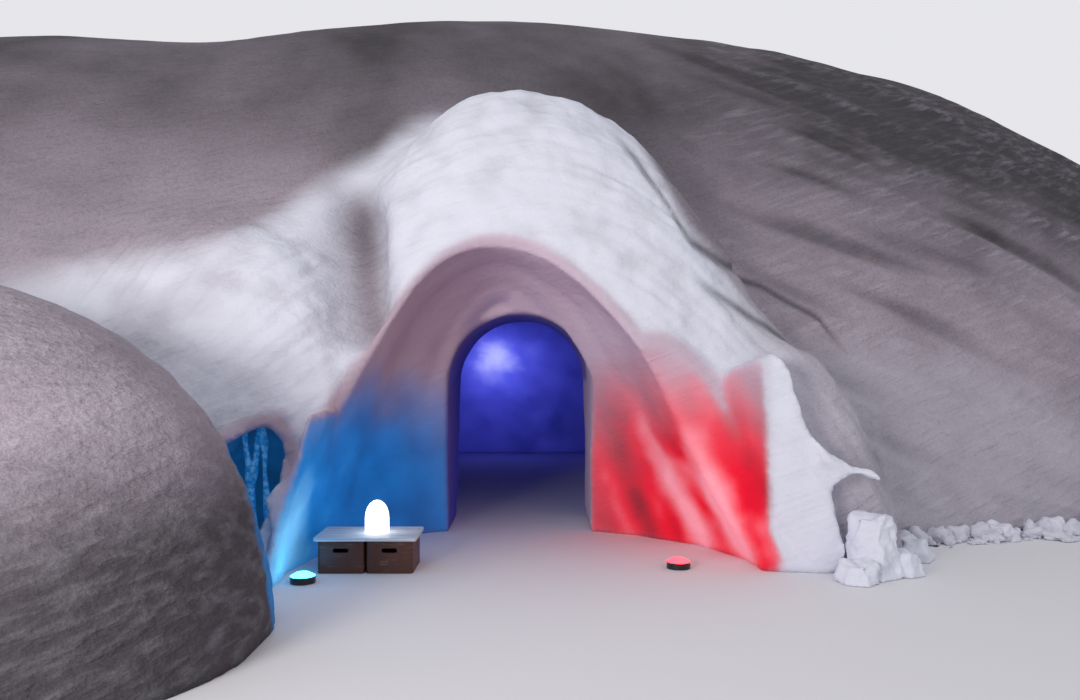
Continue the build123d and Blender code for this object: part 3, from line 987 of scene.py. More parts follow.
@dataclass
class Bank:
    """The bank heaped in front of the mound, in the heaps' own frame."""

    left_end: float = -7.9
    right_end: float = -1.27
    y: float = -5.35
    half_depth: float = 1.75
    height: float = 2.05
    turn: float = -6.0
    fullness: float = 3.4
    roundness: float = 2.2

    def near(self, points: np.ndarray, spare: float = 0.12) -> np.ndarray:
        """Whether points are in the bank or not much farther off than the spare distance.

        Args:
            points: Positions in the heaps' own frame.
            spare: How far outside the bank a point may be, in metres.

        Returns:
            A test of each point.
        """
        x, y, z = points.T
        half = (self.right_end - self.left_end) / 2
        place = (x - (self.left_end + self.right_end) / 2) / (half + spare)
        share = np.sqrt(np.maximum(1e-4, 1 - np.minimum(1.0, np.abs(place)) ** self.fullness))
        across = (y - self.y - half * place * sin(radians(self.turn))) / (self.half_depth * share + spare)
        return z < (self.height + spare) * share * (1 - np.abs(across) ** self.roundness)

    def body(self) -> Object:
        """The closed bank.

        Returns:
            The bank as a closed form.
        """
        middle = (self.left_end + self.right_end) / 2
        half = (self.right_end - self.left_end) / 2
        rings = []
        for place in 0.995 * np.sin(np.linspace(-pi / 2, pi / 2, 90)):
            share = sqrt(1 - abs(place) ** self.fullness)
            row = self.y + half * place * sin(radians(self.turn))
            side = -np.cos(np.linspace(0, pi, 70))
            rise = self.height * share * (1 - np.abs(side) ** self.roundness)
            rings.append(
                np.stack([np.full_like(side, middle + half * place), row + self.half_depth * share * side, rise], -1)
            )
        return loft("bank_body", np.array(rings))


@dataclass(frozen=True)
class Wash:
    """What one lamp throws on the snow.

    It has a place, a reach and a softness, the heights between which it fades, the ends of the mound's length that it
    keeps between, the row where it begins, its share outside the hollows, its glow and its deep, middle and bright
    colours. Light that only skims a wall is worth the skimming share of light that meets it squarely, and snow beyond
    the limit has none.
    """

    place: tuple[float, float, float]
    reach: float
    softness: float
    fades: tuple[float, float]
    left: float
    right: float
    front: float
    spill: float
    glow: float
    colours: tuple[str, str, str]
    skimming: float = 0.4
    side_fade: float = 0.6
    front_fade: float = 0.3
    limit: float = 7.0

    def level(self, points: np.ndarray, normals: np.ndarray, carved: np.ndarray, wander: np.ndarray) -> np.ndarray:
        """How strongly the lamp's light falls on points, but for what stands in its way.

        Args:
            points: Positions in the heaps' own frame.
            normals: The directions that they face.
            carved: How far they belong to the hollows' walls.
            wander: How far the edges of the light stray there.

        Returns:
            The light's strength at each point.
        """
        side, row, rise = points[:, 0] + wander, points[:, 1] + wander, points[:, 2] + 2 * wander
        away = np.array(self.place) - points
        distance = np.linalg.norm(away, axis=1)
        facing = np.einsum("ij,ij->i", away, normals) / np.maximum(distance, 1e-6)
        met = np.where(facing > 0, self.skimming + (1 - self.skimming) * facing, 0.0)
        level = met * self.reach / (self.softness + distance**2)
        level *= 1 - smooth_step(*self.fades, rise)
        level *= smooth_step(self.left, self.left + self.side_fade, side)
        level *= 1 - smooth_step(self.right - self.side_fade, self.right, side)
        level *= smooth_step(self.front, self.front + self.front_fade, row)
        level *= self.spill + (1 - self.spill) * carved
        return level * (distance < self.limit)

    def colour(self, level: np.ndarray, tone: np.ndarray) -> np.ndarray:
        """The light's colour, from deep to bright, for its strength and the snow's tone at each point.

        Args:
            level: The light's strength at each point.
            tone: How much paler than its middle colour the snow shows there.

        Returns:
            Linear red, green and blue for each point.
        """
        share = np.clip(0.14 + 0.28 * level + 0.8 * tone, 0, 1)[:, None]
        deep, middle, bright = (np.array(linear(colour)[:3]) for colour in self.colours)
        return deep + (middle - deep) * np.minimum(1, 2 * share) + (bright - middle) * np.maximum(0, 2 * share - 1)


class Lamp(Enum):
    """The lamps that wash the snow, each with a wash's values in their order, in the heaps' own frame."""

    BLUE = Wash(
        (-1.42, -4.33, 0.1), 2.0, 0.35, (0.45, 1.75), -9.0, 0.3, -9.0, 0.7, 0.36, ("#0a5a98", "#1688d4", "#84d6fc")
    )
    TABLE = Wash(
        (-0.9, -3.6, 0.4), 0.8, 0.4, (0.6, 1.5), -9.0, 0.2, -9.0, 0.1, 0.3, ("#0f4a94", "#1c70c4", "#58b2f0")
    )
    NICHE = Wash(
        (-2.0, -4.0, 0.45), 0.5, 0.35, (0.5, 1.2), -9.0, 0.0, -9.0, 0.6, 0.35, ("#07406c", "#0e6ba6", "#3fb0ec")
    )
    RED = Wash(
        (1.15, -3.9, 0.1), 1.9, 0.4, (0.5, 1.9), 0.05, 9.0, -9.0, 0.03, 0.26, ("#8e061c", "#e4082c", "#f6a0ae")
    )
    VIOLET = Wash(
        (0.7, -0.9, 0.1), 7.0, 6.0, (1.6, 4.0), -9.0, 9.0, -2.75, 0.0, 0.6, ("#0c104e", "#171c78", "#6f5fe0")
    )
    HALL = Wash(
        (-0.5, 3.35, 1.45), 0.9, 0.3, (1.6, 2.4), -9.0, 9.0, -1.5, 0.0, 1.5, ("#1d2490", "#4a4fd0", "#c3c6ff")
    )


@dataclass(frozen=True)
class Depths:
    """How far each kind of unevenness moves the snow, in metres."""

    swell: float = 0.055
    sastrugi: float = 0.06
    ledges: float = 0.014
    heaps: float = 0.07
    ripples: float = 0.02
    clods: float = 0.02
    layers: float = 0.034
    dents: float = 0.03
    scoops: float = 0.016
    flutes: float = 0.035
    cracks: float = 0.02
    groove: float = 0.26


@dataclass
class SnowSkin:
    """The whole skin of the igloo's snow, made as one form and then divided at the plane joints."""

    mound: Mound = field(default_factory=Mound)
    hollows: Hollows = field(default_factory=Hollows)
    bank: Bank = field(default_factory=Bank)
    depths: Depths = Depths()
    shift: tuple[float, float] = (-0.35, 0.199118)
    voxel: float = 0.029
    kept: float = 0.37
    fine_reach: float = 3.3
    fine_row: float = -1.9
    end_joint: float = 5.6
    third_joint: float = 2.0
    jamb_joint: float = 1.3
    wall_joint: float = 2.15
    flank_joint: float = 3.0
    wing_joint: float = -2.9
    foot_joint: float = 1.2
    crown_joint: float = 0.9
    spring_joint: float = 1.28
    lit_across: tuple = (-5.0, -3.8, -3.0, -2.5, -2.15, -1.83, -1.54, -1.3, -1.1, -0.84, 0.4, 0.8, 1.4, 1.8, 2.3)
    lit_level: tuple = (1.95, 2.06, 2.28, 2.35, 2.5, 2.84, 3.07, 3.25, 3.56, 3.95, 4.3, 3.9, 2.55, 2.1, 1.6)
    groove_level: tuple = (1.5, 1.76, 2.04, 2.38, 2.71, 3.1)
    groove_across: tuple = (-1.0, -1.1, -1.19, -1.26, -1.34, -1.44)
    groove_foot: tuple[float, float] = (1.45, 1.75)
    groove_head: tuple[float, float] = (2.7, 3.15)
    groove_sides: tuple[float, float] = (0.22, 0.2)
    crack_width: float = 0.04
    crack_cover: float = 0.7
    crack_lines: tuple = (
        ((0.7, 1.0, 1.2, 1.39, 1.69, 2.18, 2.66, 2.95), (3.5, 3.1, 2.75, 2.44, 2.3, 2.17, 1.88, 1.5)),
        ((1.35, 1.73, 2.11, 2.4), (2.16, 1.92, 1.72, 1.48)),
    )
    faintest_light: float = 0.02
    shadow_light: float = 0.15
    lift: float = 0.05

    def build(self, material: Material) -> None:
        """Makes the skin, shapes it and divides it.

        Args:
            material: The snow's material.
        """
        skin = self.mound.body()
        combine(skin, self.bank.body(), "UNION")
        for fin in (self.fin("right_fin"), self.fin("left_fin"), self.prong()):
            combine(skin, fin, "UNION")
        spaces = self.hollows
        for space in (spaces.hall(), spaces.passage(), spaces.portal(), spaces.niche(), spaces.flare()):
            combine(skin, space, "DIFFERENCE")
        log.info("snow body: %d faces", len(skin.data.polygons))
        modify(skin, "REMESH", mode="VOXEL", voxel_size=self.voxel, adaptivity=0.0)
        modify(skin, "SMOOTH", iterations=5, factor=0.5)
        points = points_of(skin)
        points += normals_of(skin) * self.weather(points)[:, None]
        points[:, 2] = np.where(points[:, 2] < 0.02, 0.0, points[:, 2])
        move_points(skin, points)
        x, y, _ = points.T
        plain = skin.vertex_groups.new(name="plain")
        plain.add(np.flatnonzero((y > self.fine_row) | (np.abs(x) > self.fine_reach)).tolist(), 1.0, "REPLACE")
        modify(skin, "DECIMATE", ratio=self.kept, vertex_group="plain")
        modify(skin, "TRIANGULATE")
        log.info("snow skin: %d triangles", len(skin.data.polygons))
        self.divide(skin, material)

    def prong(self) -> Object:
        """The right fin's prong, a tapering horn that is thick enough to last through the remesh.

        Returns:
            The prong as a closed form.
        """
        rings = []
        # Its middle falls along a shallow curve, and its half height shrinks from 100 mm at the fin to 34 mm at the tip.
        for along in np.linspace(0, 1, 14):
            middle = np.array([2.12 + 0.45 * along, -4.06 + 0.03 * along, 0.86 - 0.33 * along + 0.16 * along**2])
            turn = np.linspace(0, 2 * pi, 16, endpoint=False)
            half = 0.1 * (1 - along) + 0.034 * along
            around = np.stack([0 * turn, half * 0.8 * np.cos(turn), half * np.sin(turn)], -1)
            rings.append(middle + around)
        return loft("fin_prong", np.array(rings))

    def fin(self, node: str) -> Object:
        """A copy of a fin's solid in the heaps' own frame, ready to be joined to the body.

        Args:
            node: The fin's name.

        Returns:
            The fin as a closed form.
        """
        low = np.array([-self.shift[0], -self.shift[1], 0.0])
        source = frame["nodes"][node]
        made = placed(node + "_form", source.data.copy())
        move_points(made, points_of(made) + low)
        form = bmesh.new()
        form.from_mesh(made.data)
        bmesh.ops.remove_doubles(form, verts=form.verts, dist=1e-5)
        form.to_mesh(made.data)
        form.free()
        return made

    def weather(self, points: np.ndarray) -> np.ndarray:
        """How far wind, tools and thaw have moved each point of the skin outward.

        Args:
            points: Positions in the heaps' own frame.

        Returns:
            The move along the skin's own direction, in metres.
        """
        x, y, z = points.T
        carved = self.hollows.inside(points)
        outside = 1 - carved
        hood = self.mound.hood_share(x, y) * outside
        bank = smooth_step(0.05, 0.2, -4.55 - y) * (x < -1.1) * outside
        right = smooth_step(1.2, 3.4, x) * (1 - hood) * outside
        left = (1 - smooth_step(-1.0, 1.4, x)) * (1 - hood) * (1 - bank) * outside
        drift = DriftNoise(Seed.SWELL)
        warp = 0.16 * drift.at(points / 1.6)
        sastrugi = self.sastrugi(points)
        # A noise's places are divided by its wavelengths in metres: along the mound, across it and upward.
        ledges = DriftNoise(Seed.LEDGES).layered(np.stack([x / 0.8, y / 0.7, (z + warp) / 0.16], -1), 3)
        ripple_rows = (z + 0.12 * x + 0.5 * warp) / 0.11
        ripples = DriftNoise(Seed.RIPPLES).layered(np.stack([x / 1.1, y / 0.9, ripple_rows], -1), 2)
        layers = DriftNoise(Seed.LAYERS).layered(np.stack([x / 1.5, y / 1.5, (z + 0.3 * x * x + warp) / 0.16], -1), 3)
        dents, heaps = self.lumps(points)
        clods = DriftNoise(Seed.CLODS).layered(points / 0.2, 2) * (1 - smooth_step(0.1, 0.9, z))
        swell = drift.layered(points / 2.1, 2)
        scoops = DriftNoise(Seed.SCOOPS).layered(points / 0.5, 2)
        depths = self.depths
        moved = depths.swell * swell * outside
        left_snow = depths.ledges * ledges + depths.heaps * heaps * smooth_step(3.0, 2.4, z)
        moved += depths.sastrugi * sastrugi * right + left_snow * left
        moved += (depths.ripples * ripples + depths.clods * clods) * bank
        moved += (depths.layers * layers + depths.dents * dents) * hood
        moved += (depths.scoops * scoops + depths.flutes * self.flutes(points) * smooth_step(1.6, 1.0, z)) * carved
        moved -= depths.cracks * self.cracks(points) + depths.groove * self.groove(points)
        return moved * smooth_step(0.0, 0.12, z)

    def lumps(self, points: np.ndarray) -> tuple[np.ndarray, np.ndarray]:
        """The fresh snow's dents, 300 mm and less, and its heaps, 700 mm and less, each from about -1 to 1."""
        dents = DriftNoise(Seed.DENTS).layered(points / 0.3, 3)
        return dents, DriftNoise(Seed.HEAPS).layered(points / np.array([0.7, 0.7, 0.4]), 3)

    def sastrugi(self, points: np.ndarray) -> np.ndarray:
        """Wind ridges that run down to the right, with sharp crests, from about -1 to 1.

        Args:
            points: Positions in the heaps' own frame.

        Returns:
            The ridges' height at each point.
        """
        x, y, z = points.T
        fall = z + 0.38 * x + 0.16 * DriftNoise(Seed.SWELL).at(points / 1.6)
        wide = DriftNoise(Seed.WIDE_RIDGES).layered(np.stack([x / 1.9, y / 1.1, fall / 0.2], -1), 2)
        sharp = 1 - 4 * np.abs(DriftNoise(Seed.SHARP_RIDGES).at(np.stack([x / 2.6, y / 1.4, fall / 0.36], -1)))
        return 0.7 * wide + 0.5 * sharp

    def groove(self, points: np.ndarray) -> np.ndarray:
        """Where the hollow runs down between the hood and the wing, 1 at its bottom.

        Args:
            points: Positions in the heaps' own frame.

        Returns:
            The hollow's share of its full depth at each point.
        """
        x, y, z = points.T
        line = np.interp(z, self.groove_level, self.groove_across) + 0.04 * DriftNoise(Seed.GROOVE).at(points / 0.6)
        ends = smooth_step(*self.groove_foot, z) * (1 - smooth_step(*self.groove_head, z))
        off = (x - line) / np.where(x < line, *self.groove_sides)
        return np.exp(-(off**2)) * ends * (y < -2.0) * (1 - self.hollows.inside(points))

    def cracks(self, points: np.ndarray) -> np.ndarray:
        """Where the crust has parted in long curves that fall from the hood to the right.

        Args:
            points: Positions in the heaps' own frame.

        Returns:
            1 along the middle of a crack, 0 away from it.
        """
        x, y, z = points.T
        wander = 0.03 * DriftNoise(Seed.CRACKS).at(points / 0.35)
        found = np.zeros(len(points))
        for across, level in self.crack_lines:
            line = np.interp(x, across, level) + wander
            ends = smooth_step(across[0] - 0.02, across[0] + 0.3, x)
            ends *= 1 - smooth_step(across[-1] - 0.3, across[-1], x)
            found = np.maximum(found, np.exp(-(((z - line) / self.crack_width) ** 2)) * ends)
        return found * (y < -1.2) * (1 - self.hollows.inside(points))

    def divide(self, skin: Object, material: Material) -> None:
        """Divides the skin at the plane joints into a piece for each solid, and dresses it.

        Args:
            skin: The whole skin, in triangles, in the heaps' own frame.
            material: The snow's material.
        """
        points = points_of(skin)
        normals = normals_of(skin)
        corners = np.empty(len(skin.data.polygons) * 3, np.int32)
        skin.data.polygons.foreach_get("vertices", corners)
        corners = corners.reshape(-1, 3)
        middles = points[corners].mean(axis=1)
        wash, glow = self.washes(skin, points, normals, corners)
        layers = {
            "snow": ("FLOAT_COLOR", "color", soften(self.kinds(points), corners, 2)),
            # The cracks take painted shade.
            "crack_shade": ("FLOAT", "value", self.crack_cover * self.cracks(points)),
            "wash": ("FLOAT_COLOR", "color", wash),
            "glow": ("FLOAT", "value", glow),
        }
        bpy.data.objects.remove(skin)
        final = points + np.array([*self.shift, 0.0], np.float32)
        taken = np.zeros(len(corners), bool)
        for node, test in self.regions(middles).items():
            chosen = test & ~taken
            taken |= chosen
            used, local = np.unique(corners[chosen], return_inverse=True)
            mesh = bpy.data.meshes.new(node + "_skin")
            mesh.from_pydata(final[used], [], local.reshape(-1, 3))
            for name, (kind, key, values) in layers.items():
                layer = mesh.attributes.new(name, kind, "POINT")
                layer.data.foreach_set(key, values[used].astype(np.float32).ravel())
            mesh.shade_smooth()
            mesh.normals_split_custom_set_from_vertices(normals[used])
            piece = placed(node + "_skin", mesh)
            dress(piece, material)
            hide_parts(node)
            log.info("%s_skin: %d triangles", node, len(mesh.polygons))

    def kinds(self, points: np.ndarray) -> np.ndarray:
        """How far the snow at each point is fresh and painted lit, carved, painted with highlights on its ridge crests
        and painted with shade.

        Args:
            points: Positions in the heaps' own frame.

        Returns:
            Four shares for each point.
        """
        x, y, z = points.T
        carved = self.hollows.inside(points)
        # The steps' numbers are places in metres, or the noise's own values, between which a share comes or goes.
        # The front lamp's light is painted as fresh white below a wavering edge, less of it to the right. Dents, heaps
        # and the groove take painted shade in it, and the right fin is painted lit in full.
        edge = np.interp(x, self.lit_across, self.lit_level) + 0.1 * DriftNoise(Seed.LIT_EDGE).layered(points / 0.9, 3)
        lit = smooth_step(0.22, -0.22, z - edge) * smooth_step(-5.4, -3.0, x)
        lit *= smooth_step(-1.75, -2.2, y + 0.25 * np.maximum(0, -x)) * (1 - 0.75 * smooth_step(1.5, 2.3, x))
        bank = self.on_bank(points)
        dents, heaps = self.lumps(points)
        fresh_and_lit = lit * ~bank * (1 - 0.2 * smooth_step(0.1, -0.5, dents))
        fresh_and_lit *= 1 - 0.25 * smooth_step(0.1, -0.5, heaps) * smooth_step(-0.8, -1.6, x)
        fin = (x > 1.7) & (x < 2.9) & (z < 1.7) & (z > self.mound.top(x, y) + 0.05) & (y < -3.4)
        hollow = self.groove(points)
        fresh_and_lit = np.maximum(fresh_and_lit * (1 - 0.95 * hollow), fin * smooth_step(1.75, 1.85, x))
        ridges = self.sastrugi(points)
        # Painted highlights on the ridge crests of the right flank, and a fixed share of them on the bank.
        crest_highlight = smooth_step(0.8, 3.0, x) * (1 - fresh_and_lit) * (0.15 + 0.85 * smooth_step(0.0, 0.9, ridges))
        # Painted shade: darker higher up, to the right, in the ridges' troughs, in the groove, at the far left end and
        # on the left walls of the hollows.
        shade_and_patches = 0.75 * smooth_step(1.8, 4.2, z) + 0.3 * smooth_step(1.0, 5.0, x) * smooth_step(1.4, 3.0, z)
        shade_and_patches += 0.45 * smooth_step(0.8, 3.0, x) * smooth_step(0.25, -0.6, ridges) + 0.35 * hollow
        shade_and_patches += 0.25 * smooth_step(-3.6, -5.4, x) * smooth_step(3.4, 1.6, z) - 0.1
        shade_and_patches += 0.4 * carved * smooth_step(0.4, -1.0, x) * (y > -4.2)
        crest_highlight = np.where(bank, 0.35, crest_highlight)
        # Painted shade on the bank: darker towards its foot and at its low right end.
        low_right_shade = smooth_step(-2.9, -1.7, x) * smooth_step(1.5, 0.7, z)
        shade_and_patches = np.where(bank, 0.8 * smooth_step(1.35, 0.25, z) + 0.5 * low_right_shade - 0.12, shade_and_patches)
        return np.clip(np.column_stack([fresh_and_lit, carved, crest_highlight, shade_and_patches]), 0, 1)

    def washes(
        self, skin: Object, points: np.ndarray, normals: np.ndarray, corners: np.ndarray
    ) -> tuple[np.ndarray, np.ndarray]:
        """The colour that the lamps wash over each point, with how strongly it covers and how much it glows.

        Args:
            skin: The whole skin, which also casts the lamps' shadows.
            points: Its points.
            normals: The directions that they face.
            corners: The three points of each triangle.

        Returns:
            Red, green, blue and cover for each point, and its glow.
        """
        tree = BVHTree.FromObject(skin, bpy.context.evaluated_depsgraph_get())
        carved = self.hollows.inside(points, 0.06)
        wander = 0.12 * DriftNoise(Seed.LIGHT_EDGE).layered(points / 0.5, 2)
        tone = 0.75 * self.flutes(points) + 0.35 * DriftNoise(Seed.TONE).layered(points / 0.28, 3)
        thrown = np.zeros((len(points), 5))
        for lamp in Lamp:
            wash = lamp.value
            level = wash.level(points, normals, carved, wander)
            level[level <= self.faintest_light] = 0.0
            origin = Vector(wash.place)
            for index in np.flatnonzero(level):
                # Each ray ends a little before a place just off the snow, so that the snow there isn't in its own way.
                aim = Vector(points[index]) + Vector(normals[index]) * self.lift - origin
                span = aim.length
                if tree.ray_cast(origin, aim / span, span - 0.06)[0] is not None:
                    level[index] *= self.shadow_light
            thrown += np.column_stack([wash.colour(level, tone) * level[:, None], wash.glow * level, level])
        thrown = soften(thrown, corners, 3)
        cover = 1 - np.exp(-3.0 * np.maximum(0.0, thrown[:, 4] - 0.03))
        shared = thrown[:, :4] / np.maximum(thrown[:, 4:], 1e-6)
        return np.column_stack([shared[:, :3], cover]), cover * shared[:, 3]

    def flutes(self, points: np.ndarray) -> np.ndarray:
        """Soft upright flutes in the portal's right wall, which lean to the left as they rise, from about -1 to 1.

        Args:
            points: Positions in the heaps' own frame.

        Returns:
            The flutes' height at each point.
        """
        x, y, z = points.T
        noise = DriftNoise(Seed.FLUTES).at(np.stack([(x + 0.44 * z) / 0.2, y / 0.6, z / 1.6], -1))
        return 1.6 * noise * smooth_step(0.5, 1.0, x) * (y < -2.5)

    def regions(self, middles: np.ndarray) -> dict[str, np.ndarray]:
        """Which triangles belong to each solid.

        Args:
            middles: The middle of each triangle, in the heaps' own frame.

        Returns:
            A test of the triangles for each solid's name, in the order in which they are taken.
        """
        x, y, z = middles.T
        hall_y, front = self.hollows.hall_y, self.hollows.passage_front
        found = {
            "right_fin": self.near_node("right_fin", middles),
            "left_fin": self.near_node("left_fin", middles),
            "left_bank": self.on_bank(middles),
            "left_end_wall": x < -self.end_joint,
            "right_end_wall": x >= self.end_joint,
        }
        before, middle, behind = y < front, (y >= front) & (y < hall_y), y >= hall_y
        low = z < self.wall_joint
        bays = {
            "left": x < -self.third_joint,
            "middle": np.abs(x) <= self.third_joint,
            "right": x > self.third_joint,
        }
        for side, bay in bays.items():
            found[f"back_wall_{side}"] = behind & low & bay
            found[f"roof_back_{side}"] = behind & ~low & bay
            found[f"roof_front_{side}"] = middle & ~low & bay
        found["passage_left_wall"] = middle & (x >= -self.jamb_joint) & (x < 0) & (z < self.spring_joint)
        found["passage_right_wall"] = middle & (x >= 0) & (x <= self.jamb_joint) & (z < self.spring_joint)
        found["passage_arch"] = middle & low & (np.abs(x) <= self.jamb_joint)
        found["front_wall_left"] = middle & low & (x < 0)
        found["front_wall_right"] = middle & low
        found["left_wing"] = before & (x < self.wing_joint)
        found["right_flank"] = before & (x >= self.flank_joint)
        found["portal_left_foot"] = before & (z < self.foot_joint) & (x < 0)
        found["portal_right_foot"] = before & (z < self.foot_joint)
        found["portal_left_haunch"] = before & (x < -self.crown_joint)
        found["portal_right_haunch"] = before & (x > self.crown_joint)
        found["portal_crown"] = before
        return found

    def near_node(self, node: str, middles: np.ndarray) -> np.ndarray:
        """Which triangles stand out of the mound where a fin's solid is.

        Args:
            node: The fin's name.
            middles: The middle of each triangle, in the heaps' own frame.

        Returns:
            A test of each triangle.
        """
        low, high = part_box(node)
        shift = np.array([*self.shift, 0.0])
        low, high = np.array(low) - shift, np.array(high) - shift
        x, y, z = middles.T
        within = np.all((middles > low - 0.03) & (middles < high + 0.03), axis=1)
        return within & (z > self.mound.top(x, y) + 0.06)

    def on_bank(self, middles: np.ndarray) -> np.ndarray:
        """Which triangles are the bank's."""
        x, y, z = middles.T
        return (z > self.mound.top(x, y) + 0.05) & self.bank.near(middles)


@dataclass
class RoughSkin:
    """A rough skin over a solid: the solid's own surface, remeshed and moved in and out by noise."""

    suffix: str
    voxel: float
    smoothing: int
    seed: int
    size: tuple[float, float, float]
    layers: int
    depth: float
    sink: float

    def build(self, node: str, material: Material) -> Object:
        """Makes the skin that stands for a node.

        Args:
            node: The solid's name.
            material: The skin's material.

        Returns:
            The skin.
        """
        piece = placed(f"{node}_{self.suffix}", frame["nodes"][node].data.copy())
        modify(piece, "REMESH", mode="VOXEL", voxel_size=self.voxel, adaptivity=0.0)
        modify(piece, "SMOOTH", iterations=self.smoothing, factor=0.5)
        points = points_of(piece)
        moved = DriftNoise(self.seed).layered(points / np.array(self.size), self.layers) * self.depth - self.sink
        points += normals_of(piece) * (moved * smooth_step(0.0, FOOT_FADE, points[:, 2]))[:, None]
        points[:, 2] = np.maximum(points[:, 2], 0.0)
        move_points(piece, points)
        piece.data.shade_smooth()
        dress(piece, material)
        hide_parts(node)
        log.info("%s: %d faces", piece.name, len(piece.data.polygons))
        return piece


@dataclass
class IceStrands(RoughSkin):
    """The strands left standing in the niche, thick where they meet and thin between."""

    suffix: str = "ice"
    voxel: float = 0.008
    smoothing: int = 4
    seed: int = Seed.DENTS
    size: tuple[float, float, float] = (0.1, 0.1, 0.2)
    layers: int = 2
    depth: float = 0.018
    sink: float = 0.0


@dataclass
class BrokenSnow(RoughSkin):
    """Blocks and crumbs of broken snow, as fresh as the snow of the lip that they fell from, and painted all over with
    its front-lamp light.
    """

    suffix: str = "rough"
    voxel: float = 0.014
    smoothing: int = 3
    seed: int = Seed.BLOCKS
    size: tuple[float, float, float] = (0.16, 0.16, 0.16)
    layers: int = 3
    depth: float = 0.065
    sink: float = 0.004

    def build(self, node: str, material: Material) -> Object:
        """Makes the skin that stands for a node, of fresh snow with the front lamp's light painted on it all over.

        Args:
            node: The solid's name.
            material: The snow's material.

        Returns:
            The skin.
        """
        piece = super().build(node, material)
        # Painted all over with the front lamp's light, as fresh white snow.
        spread(piece, (1.0, 0.0, 0.0, 0.0))
        return piece


def spread(piece: Object, kinds: tuple[float, float, float, float]) -> None:
    """Gives a loose piece of snow the same kinds all over, and no lamp's light.

    Args:
        piece: The loose piece.
        kinds: How far it is fresh and painted lit, carved, painted with ridge highlights and painted with shade.
    """
    for name, shares in (("snow", kinds), ("wash", (0.0, 0.0, 0.0, 0.0))):
        layer = piece.data.attributes.new(name, "FLOAT_COLOR", "POINT")
        layer.data.foreach_set("color", np.tile(np.array(shares, np.float32), len(piece.data.vertices)))


@dataclass
class FootClods:
    """Small clods that have rolled down the right flank and lie along its foot, too small for solids of their own."""

    count: int = 260
    ends: tuple[float, float] = (2.95, 6.9)
    sizes: tuple[float, float] = (0.016, 0.11)

    def build(self, skin: SnowSkin, material: Material) -> None:
        """Makes the clods in one piece.

        Args:
            skin: The snow that they lie against.
            material: The snow's material.
        """
        chance = np.random.default_rng(Seed.CLOD_PLACES)
        across = chance.uniform(*self.ends, self.count)
        front = skin.mound.feet(across)[0]
        form = bmesh.new()
        for x, y in zip(across, front):
            size = self.sizes[0] + (self.sizes[1] - self.sizes[0]) * chance.random() ** 3
            off = 0.3 * size + 0.3 * chance.random() ** 3
            place = Matrix.Translation((x + skin.shift[0], y + skin.shift[1] - off, 0.3 * size))
            stretch = Matrix.Diagonal((size * chance.uniform(0.8, 1.9), size, size * chance.uniform(0.4, 0.9), 1.0))
            turn = Matrix.Rotation(chance.uniform(0, 2 * pi), 4, "Z")
            tilt = Matrix.Rotation(chance.uniform(-0.7, 0.7), 4, "Y")
            bmesh.ops.create_icosphere(form, subdivisions=3, radius=1.0, matrix=place @ turn @ tilt @ stretch)
        mesh = bpy.data.meshes.new("foot_clods")
        form.to_mesh(mesh)
        form.free()
        piece = placed("foot_clods", mesh)
        roughen(piece, Seed.CLOD_FORM, 0.09, 0.1)
        roughen(piece, Seed.CLOD_SKIN, 0.03, 0.03)
        points = points_of(piece)
        points[:, 2] = np.maximum(points[:, 2], 0.0)
        move_points(piece, points)
        # The clods are painted mostly with the front lamp's light, as fresh white snow, with a little painted shade.
        spread(piece, (0.85, 0.0, 0.0, 0.1))
        mesh.shade_smooth()
        dress(piece, material)
        log.info("foot_clods: %d faces", len(mesh.polygons))


@dataclass
class LampTable:
    """Two upturned crates with a board across them and a glowing dome on it."""

    def build(self) -> None:
        """Dresses the table's solids."""
        plastic = ScuffedPlastic().material("scuffed_moulded_polypropylene")
        for node in ("crate_left", "crate_right"):
            self.finish(node, plastic, 0.004)
        self.finish("table_board", FrostedBoard().material("frosted_painted_softwood"), 0.003)
        low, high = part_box("dome_lamp")
        glow = LitOpal("#fbfdff", 3.2, low.z - 0.2, 0.22)
        self.finish("dome_lamp", glow.material("lit_opal_polyethylene"), 0.002)

    def finish(self, node: str, material: Material, edge: float) -> None:
        """Gives a solid its material and rounds its edges.

        Args:
            node: The solid's name.
            material: Its only material.
            edge: How wide its rounded edges are, in metres.
        """
        rounded = coat(node, material).modifiers.new("rounded_edges", "BEVEL")
        rounded.width = edge
        rounded.segments = 2
        rounded.limit_method = "ANGLE"


@dataclass
class FloorLamps:
    """The low round lamps that wash the snow from the ground."""

    strength: float = 9.0
    body_height: float = 0.045
    rim_fade: float = 0.002

    def build(self) -> None:
        """Dresses each lamp with its own colour."""
        colours = {"blue_floor_lamp": "#3fb8ff", "red_floor_lamp": "#ff2a33", "violet_floor_lamp": "#6a54ff"}
        for node, colour in colours.items():
            lens = LitOpal(colour, self.strength, self.body_height, self.rim_fade)
            coat(node, lens.material("lit_lens_of_" + node))


def coat(node: str, material: Material) -> Object:
    """Gives a solid its only material, and gives the solid back.

    Args:
        node: The solid's name.
        material: Its only material.

    Returns:
        The solid.
    """
    solid = frame["nodes"][node]
    solid.data.materials.clear()
    solid.data.materials.append(material)
    log.info("%s: dressed", node)
    return solid


# Stage


